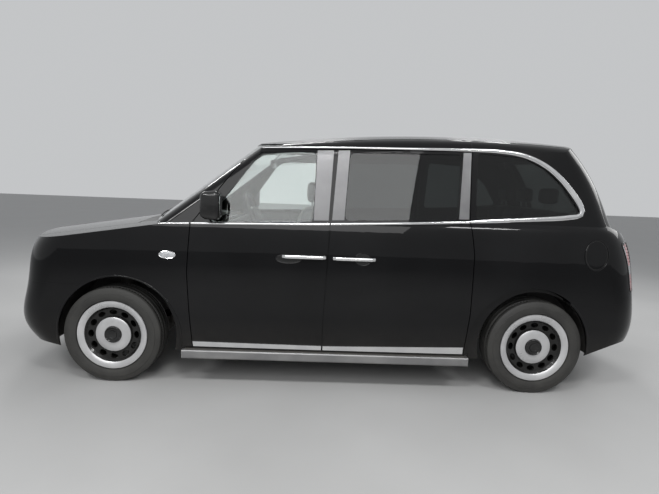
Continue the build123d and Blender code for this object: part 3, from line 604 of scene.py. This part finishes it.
# Grille and nose: a bright frame round the upright bars, a slatted intake below and a blank plate.
# The bars are a CAD casting, the frame is chromed plastic.
black_plastic = finish(
    "black_plastic", (0.014, 0.014, 0.0145), (0.026, 0.026, 0.026), (0.45, 0.62), patch=8, grain=340,
    depth=0.22, dust=0.4, dust_top=0.8)
plate_white, plate_yellow = (
    finish(name, dark, light, (0.2, 0.3), patch=5, grain=80, depth=0.04, dust=0.3)
    for name, dark, light in (
        ("plate_white", (0.62, 0.62, 0.61), (0.68, 0.68, 0.67)),
        ("plate_yellow", (0.62, 0.44, 0.03), (0.68, 0.5, 0.05))))
dress(bright_trim, "grille")
nose_skin = skin_of(
    "nose", "front_bumper", "grille", "front_wing_left", "front_wing_right", "bonnet", "headlamps")
half_frame = smooth_path((
    (0.0, 0.574), (-0.2, 0.574), (-0.385, 0.575), (-0.412, 0.590), (-0.418, 0.625), (-0.418, 0.73),
    (-0.418, 0.838), (-0.411, 0.873), (-0.384, 0.887), (-0.2, 0.888), (0.0, 0.888)), 0.03)
form = strip_along([nose_skin(y, z) for y, z in half_frame], (0.024, 0.006), (-1, 0, 0), 12)
pair("grille_frame", form, "body", "bright_trim")
INTAKE_TOP, SLAT_PITCH, SLAT_SLOPE = 0.35, 0.019, 0.45
form = bmesh.new()
intake_line = [nose_skin(-0.46 + 0.092 * k, INTAKE_TOP, -0.028) for k in range(11)]
for row in range(4):
    z = 0.262 + SLAT_PITCH * row
    spots = [(spot.x + SLAT_SLOPE * (INTAKE_TOP - z), spot.y, z) for spot in intake_line]
    sweep(form, spots, (0.008, 0.01), segments=8, outward=(-1, 0, 0))
piece("intake_slats", form, "body", "black_plastic")
PLATE_HALF = 0.26
form = cover(upright(-PLATE_HALF, PLATE_HALF, 0.419, 0.530), 24, 6, nose_skin, 0.0005, 0.001)
piece("front_plate", form, "body", "gloss_plastic", plate_white)

# Headlamps: round, with a gloss black bowl, bright rings, a projector and a clear cover that follows the
# nose.
# Each unit is sealed and screwed behind the wing's round opening.
finish(
    "lamp_glass", (0.94, 0.95, 0.96), (0.97, 0.97, 0.97), (0.0, 0.01), depth=0, Transmission_Weight=1.0,
    IOR=1.45)
LAMP, LAMP_RADIUS = (-0.6, 0.806), 0.0945


def doubled(form):
    """Adds the mirror image on the other side."""
    copy = bmesh.ops.duplicate(form, geom=form.verts[:] + form.edges[:] + form.faces[:])["geom"]
    bmesh.ops.scale(form, verts=verts_in(copy), vec=(1, -1, 1))
    return form


def lamp_disc(radius, rise, rings=8, segments=48, depth=0.003):
    """A round patch at both lamps."""
    return doubled(oval(LAMP, (radius, radius), nose_skin, rise, rings, segments, depth))


def lamp_ring(radius, size, steps, proud=0.0):
    """A round strip at both lamps."""
    return doubled(ring(LAMP, (radius, radius), nose_skin, size, steps, proud))


form = lamp_disc(LAMP_RADIUS, lambda share: 0.004 * (1 - share ** 2) - 0.003)
piece("headlamp_covers", form, "body", "lamp_glass", stands_for=["headlamps"])
form = lamp_disc(LAMP_RADIUS, lambda share: -0.014 - 0.052 * (1 - share ** 3), rings=10)
piece("headlamp_bowls", form, "body", "gloss_plastic")
piece("headlamp_light_rings", lamp_ring(0.074, (0.011, 0.006), 64, -0.030), "body", "lamp_glass", pearl_lens)
piece("headlamp_lens_rings", lamp_ring(0.041, (0.010, 0.012), 48, -0.056), "body", "bright_trim")
form = lamp_disc(0.038, lambda share: -0.048 + 0.022 * (1 - share ** 2), segments=40, depth=0.004)
piece("headlamp_projectors", form, "body", "lamp_glass")
piece("headlamp_rims", lamp_ring(0.0965, (0.013, 0.006), 64), "body", "bright_trim")

# Wipers: two arms across the foot of the windscreen and one on the rear window.
# Black painted steel arms on splined spindles, with rubber blades.
screen_skin = skin_of("nose", "windscreen", "cowl")
SCREEN_OUT = (-1, 0, 0.6)
for name, pivot, tip in (("left", -0.58, -0.02), ("right", 0.06, 0.60)):
    arm = [
        screen_skin(pivot + (tip - pivot) * k / 8, 1.172 + 0.034 * k / 8,
                    0.012 + 0.006 * math.sin(k * math.pi / 8))
        for k in range(9)]
    form = strip_along(arm, [(0.018 - 0.0012 * k, 0.005) for k in range(9)], SCREEN_OUT, 12)
    blade = [screen_skin(tip - 0.42 + 0.05 * k, 1.196 + 0.0032 * k, 0.006) for k in range(10)]
    sweep(form, blade, (0.009, 0.006), segments=8, outward=SCREEN_OUT)
    piece(f"front_wiper_{name}", form, "body", "black_plastic")
dress(black_plastic, "cowl")

# Tailgate fittings: handle bar over a blank plate, high brake lamp and wiper. Red lamps on the corners.
# Moulded and chromed parts screwed to the panel.
# Its faint red emission also makes the bumper reflector glow, though that is no lamp: a painted glow.
tail_lens = finish(
    "tail_lens", (0.30, 0.006, 0.012), (0.42, 0.010, 0.018), (0.06, 0.12), patch=20, grain=200, depth=0.02,
    Coat_Weight=1.0, Emission_Color=(0.6, 0.01, 0.02, 1), Emission_Strength=0.08)
dress(tail_lens, "tail_lamps")
lamp_skin = skin_of("tail", "tail_lamps", "side_frame_left", "tailgate")
LENS_OUT, BAND_FROM, BAND_TO = (1, -0.4, 0), 0.88, 0.95
form = bmesh.new()
for row in range(15):
    z = 0.785 + 0.0215 * row
    if not BAND_FROM < z < BAND_TO:
        spots = [lamp_skin(-0.835 + 0.017 * k, z) for k in range(9)]
        sweep(form, spots, (0.012, 0.0022), segments=8, outward=LENS_OUT)
pair("tail_lamp_ribs", form, "body", "tail_lens")
form = cover(upright(-0.842, -0.697, 0.887, 0.948), 10, 4, lamp_skin, 0.003, 0.001)
pair("tail_lamp_reverse_band", form, "body", "lamp_glass", pearl_lens)
spots = [lamp_skin(-0.842, 0.79 + 0.03 * k) for k in range(11)]
form = strip_along(spots, (0.010, 0.004), (0.7, -0.7, 0))
pair("tail_lamp_side_strip", form, "body", "lamp_glass", pearl_lens)
edge = smooth_path((
    (-0.775, 1.108), (-0.705, 1.108), (-0.690, 1.094), (-0.689, 0.94), (-0.690, 0.777), (-0.705, 0.763),
    (-0.775, 0.763), (-0.838, 0.763), (-0.851, 0.777), (-0.852, 0.94), (-0.851, 1.094), (-0.838, 1.108),
    (-0.775, 1.108)), 0.02)
form = strip_along([lamp_skin(y, z) for y, z in edge], (0.010, 0.004), LENS_OUT)
pair("tail_lamp_bezel", form, "body", "gloss_plastic")
tail_skin = skin_of("tail", "tailgate", "rear_window")
form = cover(upright(-PLATE_HALF, PLATE_HALF, 0.804, 0.915), 24, 6, tail_skin, 0.003, 0.001)
piece("rear_plate", form, "tailgate_body", "gloss_plastic", plate_yellow)
spots = [tail_skin(-0.31 + 0.062 * k, 0.95, -0.002) for k in range(11)]
sizes = [(0.026, 0.012)] + [(0.036, 0.015)] * 9 + [(0.026, 0.012)]
form = strip_along(spots, sizes, (1, 0, 0), 12)
piece("tailgate_handle_bar", form, "tailgate_body", "bright_trim")
spots = [tail_skin(-0.18 + 0.036 * k, 1.748, -0.001) for k in range(11)]
form = strip_along(spots, (0.022, 0.007), (1, 0, 0), 12)
piece("high_brake_lamp", form, "tailgate_body", "tail_lens")
GATE_OUT = (1, 0, 0.3)
spots = [tail_skin(0.02 - 0.038 * k, 1.285 + 0.006 * k, 0.014) for k in range(9)]
form = strip_along(spots, [(0.02 - 0.0015 * k, 0.005) for k in range(9)], GATE_OUT, 12)
spots = [tail_skin(-0.12 - 0.03 * k, 1.318 + 0.004 * k, 0.006) for k in range(9)]
sweep(form, spots, (0.009, 0.006), segments=8, outward=GATE_OUT)
piece("rear_wiper", form, "tailgate_body", "black_plastic")
bumper_skin = skin_of("tail", "rear_bumper")
# Bumper reflectors: red lenses on the bumper's back in the tail lens finish, whose emission paints a glow on
# them.
form = cover(upright(-0.68, -0.58, 0.425, 0.455), 8, 3, bumper_skin, 0.004, 0.001)
pair("bumper_reflector", form, "body", "tail_lens")

# Roof joints: moulded strips in the two long roof joints, and the short seam above each rear door.
# The strips push into the joints and keep water out.
roof_skin = skin_of("top", "roof_panel", "side_frame_left")
spots = [roof_skin(-0.37 + 0.0508 * k, -0.6645) for k in range(41)]
form = strip_along(spots, (0.011, 0.002), (0, 0, 1))
pair("roof_joint_strip", form, "body", "black_plastic")
spots = [frame_skin(0.915, 1.732 + 0.011 * k) for k in range(5)]
form = strip_along(spots, (0.004, 0.0008), (0, -1, 0.6))
pair("roof_side_seam", form, "body", "gloss_plastic", gap_black)

# Arch liners, bulkhead and underside: dusty moulded liners, coated steel and cast alloy.
# Bolted to the floor pan, seen from below and through the arches.
chassis_steel = finish(
    "chassis_steel", (0.028, 0.028, 0.028), (0.055, 0.05, 0.045), (0.5, 0.75), patch=9, grain=220, depth=0.3,
    dust=0.7, dust_top=1.0, Metallic=0.3)
cast_alloy = finish(
    "cast_alloy", (0.22, 0.22, 0.215), (0.34, 0.335, 0.32), (0.4, 0.6), patch=14, grain=260, depth=0.35,
    dust=0.5, dust_top=0.9, Metallic=0.85)
dress(black_plastic, "front_arch_liners", "rear_arch_liners", "battery_pack", "radiator")
GUARD_OUTER = -0.868
for name, centre_x, radius, turns, inner, outward in (
    ("front_splash_guard", -1.56, 0.434, range(188, 164, -3), -0.41, (-1, 0, 0)),
    ("rear_splash_guard", 1.425, 0.397, range(-6, 15, 3), -0.655, (1, 0, 0)),
):
    spots = []
    for turn in turns:
        x, z = math.cos(math.radians(turn)), math.sin(math.radians(turn))
        spots.append((centre_x + radius * x, (inner + GUARD_OUTER) / 2, AXLE_HEIGHT + radius * z))
    form = sweep(bmesh.new(), spots, (inner - GUARD_OUTER, 0.003), outward=outward)
    pair(name, form, "body", "black_plastic")
dress(chassis_steel, "floor_pan", "front_suspension", "rear_axle", "bulkhead", "knuckle_left",
      "knuckle_right")
dress(cast_alloy, "rear_drive", "power_unit")
TUBE_COUNT, TUBE_PITCH = 22, 0.0195
form = bmesh.new()
for row in range(TUBE_COUNT):
    z = 0.44 + TUBE_PITCH * row
    tube = [(-2.2352, y, z) for y in (-0.39, 0.0, 0.39)]
    sweep(form, tube, (0.011, 0.0035), segments=8, outward=(-1, 0, 0))
piece("radiator_tubes", form, "body", "drive_alloy", cast_alloy)
form = rounded(bmesh.new(), (-2.05, -0.31, 0.95), (-1.45, 0.31, 0.99), 0.018, 3)
for row in range(9):
    spots = [(-2.02 + 0.27 * k, -0.24 + 0.06 * row, 0.99) for k in range(3)]
    sweep(form, spots, (0.022, 0.007), segments=8, outward=(0, 0, 1))
piece("power_unit_cover", form, "body", "black_plastic")
form = bmesh.new()
for row in range(7):
    x = -0.78 + 0.26 * row
    sweep(form, [(x, y, 0.206) for y in (-0.53, 0.0, 0.53)], (0.05, 0.008), segments=8, outward=(0, 0, -1))
piece("battery_ribs", form, "body", "chassis_metal", chassis_steel)

# Door linings: pressed trim panels with an armrest and a pull, one on the inside of each door.
# Moulded boards covered in soft grey plastic, clipped on.
lining_grey = finish(
    "lining_grey", (0.045, 0.046, 0.048), (0.065, 0.066, 0.068), (0.5, 0.65), patch=6, grain=420, depth=0.3)
for door, corners, arm in (
    ("front_door", ((-0.835, 1.120), (-0.125, 1.140), (-0.14, 0.392), (-0.835, 0.392)), (-0.66, -0.24)),
    ("rear_door", ((-0.012, 1.150), (0.848, 1.185), (0.858, 0.392), (-0.012, 0.392)), (0.16, 0.66)),
):
    inside = skin_of("inside", door + "_left")
    ride = door + "_body_{}"
    pair(door + "_lining", cover(corners, 24, 20, inside, 0.0035, 0.001), ride, "cab_trim", lining_grey)
    wall = inside((arm[0] + arm[1]) / 2, 0.84).y
    form = rounded(bmesh.new(), (arm[0], wall - 0.01, 0.815), (arm[1], wall + 0.062, 0.865), 0.016, 4)
    pair(door + "_armrest", form, ride, "cab_trim", lining_grey)
    spots = [
        (arm[0] + 0.03 + 0.2 * k / 8, wall + 0.045 * math.sin(k * math.pi / 8) ** 0.5, 0.96)
        for k in range(9)]
    form = strip_along(spots, (0.02, 0.009), (0, 1, 0), 12)
    pair(door + "_pull", form, ride, "bright_trim")

# Dashboard: a grained moulding with a hooded instrument panel, a centre screen and four air vents.
# Screwed to the bulkhead. The screens are blank glass.
screen_glass = finish(
    "screen_glass", (0.003, 0.004, 0.006), (0.006, 0.007, 0.009), (0.04, 0.08), patch=5, grain=100, depth=0.0)
dress(black_plastic, "dashboard", "steering_column")
PANEL_RAKE, PANEL_Z, DASH_SLOPE, DASH_Z = 0.5, 1.155, 0.143, 0.9
for name, low, high, radius, segments, slot, paint, back in (
    ("instrument_hood", (-0.985, -0.565, 1.105), (-0.865, -0.235, 1.205), 0.03, 4, "black_plastic",
     black_plastic, 0.02),
    ("instrument_screen", (-0.876, -0.54, 1.115), (-0.868, -0.26, 1.19), 0.003, 2, "dark_glass",
     screen_glass, 0.006),
    ("centre_screen_case", (-0.885, -0.14, 0.965), (-0.86, 0.14, 1.15), 0.01, 3, "gloss_plastic",
     gloss_plastic, None),
    ("centre_screen", (-0.863, -0.128, 0.978), (-0.857, 0.128, 1.138), 0.002, 2, "dark_glass",
     screen_glass, None),
):
    form = rounded(bmesh.new(), low, high, radius, segments)
    if back is not None:
        for vert in form.verts:
            vert.co.x += PANEL_RAKE * (vert.co.z - PANEL_Z) - back
    piece(name, form, "body", slot, paint)
form, fins = bmesh.new(), bmesh.new()
for y in (-0.70, -0.19, 0.20, 0.66):
    edge = [(y - 0.05, 0.945), (y + 0.05, 0.945), (y + 0.058, 0.952), (y + 0.058, 1.012), (y + 0.05, 1.02),
            (y - 0.05, 1.02), (y - 0.058, 1.012), (y - 0.058, 0.952), (y - 0.05, 0.945)]
    spots = [(-0.885 + DASH_SLOPE * (z - DASH_Z) + 0.004, k, z) for k, z in edge]
    sweep(form, spots, (0.008, 0.005), segments=8, outward=(1, 0, 0))
    for row in range(5):
        z = 0.957 + 0.0125 * row
        spots = [(-0.882 + DASH_SLOPE * (z - DASH_Z), y - 0.055 + 0.055 * k, z) for k in range(3)]
        sweep(fins, spots, (0.006, 0.004), segments=8, outward=(1, 0, 0))
piece("vent_frames", form, "body", "bright_trim")
piece("vent_fins", fins, "body", "black_plastic")

# Steering wheel: a grained rim on three spokes, with a padded boss over the hub.
# The rim and spokes are the CAD node, moulded over a steel frame.
dress(black_plastic, "steering_wheel")
WHEEL_HUB, COLUMN_TILT = (-0.64, -0.40, 1.18), -22
BOSS = ((0.004, 0.072), (0.012, 0.0765), (0.022, 0.074), (0.030, 0.062), (0.034, 0.04), (0.035, 0.0004))
tilt = Matrix.Rotation(math.radians(COLUMN_TILT), 4, "Y") @ Matrix.Rotation(math.radians(-90), 4, "Z")
form = spun(BOSS, (0, 0, 0), 48)
bmesh.ops.transform(form, verts=form.verts, matrix=Matrix.Translation(WHEEL_HUB) @ tilt)
piece("steering_wheel_boss", form, "steering_wheel_body", "black_plastic", lining_grey)

# Mirror at the top of the windscreen: a moulded shell round a flat glass.
# It hangs on a short stalk from the roof header.
form = rounded(bmesh.new(), (-0.565, -0.125, 1.565), (-0.535, 0.125, 1.628), 0.013, 3)
sweep(form, [(-0.55, 0, 1.60), (-0.535, 0, 1.64), (-0.50, 0, 1.68), (-0.47, 0, 1.70)], (0.016, 0.008),
      outward=(1, 0, 1))
piece("cabin_mirror", form, "body", "gloss_plastic")

# Partition: a moulded wall behind the driver with a bonded window in a gloss black frame.
# Grained plastic on a steel frame, bolted to the floor and roof.
cab_trim = finish(
    "cab_trim", (0.055, 0.056, 0.058), (0.08, 0.081, 0.083), (0.48, 0.62), patch=5, grain=480, depth=0.3)
dress(cab_trim, "partition")
half_edge = ((0.0, 1.645), (-0.545, 1.645), (-0.563, 1.636), (-0.645, 1.192), (-0.632, 1.175), (0.0, 1.175))
for name, x, way in (("front", -0.0605, -1), ("rear", -0.0295, 1)):
    form = strip_along([(x, y, z) for y, z in half_edge], (0.02, 0.006), (way, 0, 0), 12)
    piece("partition_frame_" + name, doubled(form), "body", "black_plastic", gloss_plastic)

# Driver's seat: a sprung cushion and back in grained vinyl on a plastic-sided base.
# Foam pads under sewn covers, with two sewn channels, bolted to the floor.
seat_vinyl = finish(
    "seat_vinyl", (0.035, 0.036, 0.039), (0.055, 0.056, 0.06), (0.42, 0.58), patch=14, grain=900, depth=0.35,
    Sheen_Weight=0.15)


def pad(low, high, cell=0.024, lean=0.0, roundness=8):
    """A soft block with round corners. Lean takes its top back."""
    low, high = Vector(low), Vector(high)
    size = high - low
    form = bmesh.new()
    bmesh.ops.create_cube(form, size=2)
    for axis in range(3):
        along = [e for e in form.edges if abs((e.verts[0].co - e.verts[1].co)[axis]) > 1e-4]
        cuts = max(2, round(size[axis] / cell) - 1)
        bmesh.ops.subdivide_edges(form, edges=along, cuts=cuts, use_grid_fill=True)
    for vert in form.verts:
        spot = vert.co.copy()
        spot *= max(abs(c) for c in spot) / sum(abs(c) ** roundness for c in spot) ** (1 / roundness)
        vert.co = (low + high) / 2 + Vector(s * c / 2 for s, c in zip(spot, size))
        vert.co.x += lean * (spot.z + 1) / 2
    return form


def stuffed(form, held, cap=0.018, pressure=4.0, moments=20):
    """Blows a cover up as its filling does. Held is the way its fixed side faces, cap the most it swells."""
    form.normal_update()
    start = bpy.data.meshes.new("cover_start")
    form.to_mesh(start)
    stand_in = bpy.data.objects.new("cover_start", start)
    bpy.context.scene.collection.objects.link(stand_in)
    fixed = stand_in.vertex_groups.new(name="held")
    fixed.add([v.index for v in form.verts if v.normal.dot(Vector(held)) > 0.8], 1.0, "REPLACE")
    cloth = stand_in.modifiers.new("cloth", "CLOTH")
    cloth.settings.quality = 4
    cloth.settings.use_pressure = True
    cloth.settings.uniform_pressure_force = pressure
    cloth.settings.effector_weights.gravity = 0
    cloth.settings.vertex_group_mass = "held"
    cloth.point_cache.frame_end = moments
    for moment in range(1, moments + 1):
        bpy.context.scene.frame_set(moment)
    swollen = stand_in.evaluated_get(bpy.context.evaluated_depsgraph_get()).to_mesh()
    form.verts.ensure_lookup_table()
    for vert, after in zip(form.verts, swollen.vertices):
        move = after.co - vert.co
        if move.length > 1e-6:
            vert.co += move * (cap * math.tanh(move.length / cap) / move.length)
    bpy.data.objects.remove(stand_in)
    bpy.context.scene.frame_set(1)
    return form


def sewn(form, axis, lines, facing, depth=0.012, width=0.013):
    """Sewn channels: the side that faces this way is drawn in along lines across one axis."""
    form.normal_update()
    facing = Vector(facing)
    pulls = [
        max(0.0, v.normal.dot(facing)) * sum(math.exp(-((v.co[axis] - line) / width) ** 2) for line in lines)
        for v in form.verts]
    for vert, pull in zip(form.verts, pulls):
        vert.co -= facing * depth * pull
    return form


def cushion(name, form, stands_for=()):
    """A finished padded piece, smoothed once."""
    made = piece(name, form, "body", "seat_cover", seat_vinyl, 80, stands_for)
    smooth = made.modifiers.new("smooth", "SUBSURF")
    smooth.levels = smooth.render_levels = 1
    return made


def headrest(name, low, high):
    """A small padded piece, held at its back."""
    cushion(name, stuffed(pad(low, high, cell=0.018, roundness=5), (1, 0, 0), 0.01))


def post(form, x, y, heights):
    """A headrest's bright post, added to the bmesh."""
    sweep(form, [(x, y, z) for z in heights], (0.013, 0.0065), outward=(-1, 0, 0))


SEAT_Y = -0.40
form = stuffed(pad((-0.635, SEAT_Y - 0.245, 0.565), (-0.245, SEAT_Y + 0.245, 0.695)), (0, 0, -1))
form = sewn(form, 1, (SEAT_Y - 0.15, SEAT_Y + 0.15), (0, 0, 1))
cushion("driver_cushion", form, stands_for=["driver_seat"])
form = stuffed(pad((-0.335, SEAT_Y - 0.235, 0.665), (-0.225, SEAT_Y + 0.235, 1.265), lean=0.06), (1, 0, 0))
form = sewn(form, 1, (SEAT_Y - 0.145, SEAT_Y + 0.145), (-1, 0, 0))
cushion("driver_back", sewn(form, 2, (0.86, 1.05), (-1, 0, 0), 0.006))
headrest("driver_headrest", (-0.235, SEAT_Y - 0.125, 1.30), (-0.165, SEAT_Y + 0.125, 1.455))
form = bmesh.new()
for y in (SEAT_Y - 0.06, SEAT_Y + 0.06):
    post(form, -0.20, y, (1.24, 1.28, 1.34))
piece("driver_headrest_posts", form, "body", "bright_trim")
form = rounded(bmesh.new(), (-0.575, SEAT_Y - 0.215, 0.3705), (-0.235, SEAT_Y + 0.215, 0.575), 0.03, 4)
piece("driver_seat_base", form, "body", "black_plastic")
form = bmesh.new()
for y in (SEAT_Y - 0.17, SEAT_Y + 0.17):
    sweep(form, [(x, y, 0.374) for x in (-0.66, -0.60, -0.30, -0.17)], (0.05, 0.014), outward=(0, 0, 1))
piece("driver_seat_rails", form, "body", "chassis_metal", chassis_steel)

# Rear bench: a three-place cushion and back with seams between the places, and three headrests.
# Foam under sewn vinyl, on the step of the floor.
BENCH_SEAMS = (-0.213, 0.213)
form = stuffed(pad((1.095, -0.635, 0.622), (1.555, 0.635, 0.785), cell=0.03), (0, 0, -1))
form = sewn(form, 1, BENCH_SEAMS, (0, 0, 1), 0.016, 0.018)
cushion("bench_cushion", form, stands_for=["rear_bench"])
form = stuffed(pad((1.465, -0.635, 0.755), (1.575, 0.635, 1.325), cell=0.03, lean=0.11), (1, 0, 0))
form = sewn(form, 1, BENCH_SEAMS, (-1, 0, 0), 0.016, 0.018)
cushion("bench_back", sewn(form, 2, (1.02,), (-1, 0, 0), 0.006))
posts = bmesh.new()
for number, y in enumerate((-0.43, 0.0, 0.43), 1):
    headrest(f"bench_headrest_{number}", (1.605, y - 0.115, 1.355), (1.675, y + 0.115, 1.475))
    for side in (-0.05, 0.05):
        post(posts, 1.64, y + side, (1.30, 1.34, 1.38))
piece("bench_headrest_posts", posts, "body", "bright_trim")

# Folding seats: three tip-up seats standing folded against the partition, facing back.
# Padded vinyl pans on plastic hinge blocks.
PARTITION_REAR = -0.0295
stays = bmesh.new()
for number, y in enumerate((-0.48, 0.0, 0.48), 1):
    form = stuffed(pad((-0.018, y - 0.19, 0.64), (0.046, y + 0.19, 1.045), lean=-0.006), (-1, 0, 0), 0.012)
    form = sewn(form, 1, (y - 0.11, y + 0.11), (1, 0, 0), 0.008)
    cushion(f"folding_seat_{number}", form, stands_for=["folding_seats"] if number == 1 else ())
    rounded(stays, (PARTITION_REAR, y - 0.20, 0.60), (-0.012, y + 0.20, 1.13), 0.007, 3)
    rounded(stays, (PARTITION_REAR, y - 0.20, 0.575), (0.04, y - 0.165, 0.66), 0.008, 3)
    rounded(stays, (PARTITION_REAR, y + 0.165, 0.575), (0.04, y + 0.20, 0.66), 0.008, 3)
piece("folding_seat_frames", stays, "body", "black_plastic")

# The studio: a wide pale floor, six ceiling panels, two soft lamps and an even sky.
# The backdrop shows pale grey to the camera, in reflections and through glass.
form = bmesh.new()
bmesh.ops.create_grid(form, x_segments=1, y_segments=1, size=30)
floor_data = bpy.data.meshes.new("floor")
form.to_mesh(floor_data)
form.free()
floor = bpy.data.objects.new("floor", floor_data)
bpy.context.scene.collection.objects.link(floor)
floor_data.materials.append(finish(
    "floor_paint", (0.44, 0.44, 0.435), (0.49, 0.49, 0.485), (0.5, 0.65), patch=0.6, grain=60, depth=0.05))
PANELS = [(x, y, 3.5) for y in (-3.1, 2.4) for x in (-3.0, -0.4, 2.2)]
for number, spot, aim, size, power in (
    *((number, spot, (spot[0], spot[1], 0), (1.0, 0.5), 46) for number, spot in enumerate(PANELS, 1)),
    (7, (-1.0, -7.0, 4.5), (0, 0, 0.8), (6, 3), 190),
    (8, (6.0, 1.0, 3.5), (0, 0, 0.8), (3, 2), 60),
):
    lamp = bpy.data.objects.new(f"panel_{number}", bpy.data.lights.new(f"panel_{number}", "AREA"))
    lamp.data.shape = "RECTANGLE"
    lamp.data.size, lamp.data.size_y = size
    lamp.data.energy = power
    lamp.location = spot
    lamp.rotation_mode = "QUATERNION"
    lamp.rotation_quaternion = (Vector(aim) - Vector(spot)).to_track_quat("-Z", "Y")
    bpy.context.scene.collection.objects.link(lamp)
world = bpy.data.worlds.new("studio")
bpy.context.scene.world = world
world.use_nodes = True
sky = world.node_tree
even = sky.nodes["Background"]
even.inputs["Color"].default_value = (0.75, 0.77, 0.8, 1)
even.inputs["Strength"].default_value = 0.45
pale = wire(sky, "ShaderNodeBackground", {"Color": (0.55, 0.56, 0.57, 1), "Strength": 1.0})
rays = sky.nodes.new("ShaderNodeLightPath")
seen = wire(sky, "ShaderNodeMath", {
    0: rays.outputs["Is Camera Ray"], 1: rays.outputs["Is Glossy Ray"]}, operation="MAXIMUM")
seen = wire(sky, "ShaderNodeMath", {
    0: seen.outputs[0], 1: rays.outputs["Is Transmission Ray"]}, operation="MAXIMUM")
both = wire(sky, "ShaderNodeMixShader", {0: seen.outputs[0], 1: even.outputs[0], 2: pale.outputs[0]})
sky.links.new(both.outputs[0], sky.nodes["World Output"].inputs["Surface"])
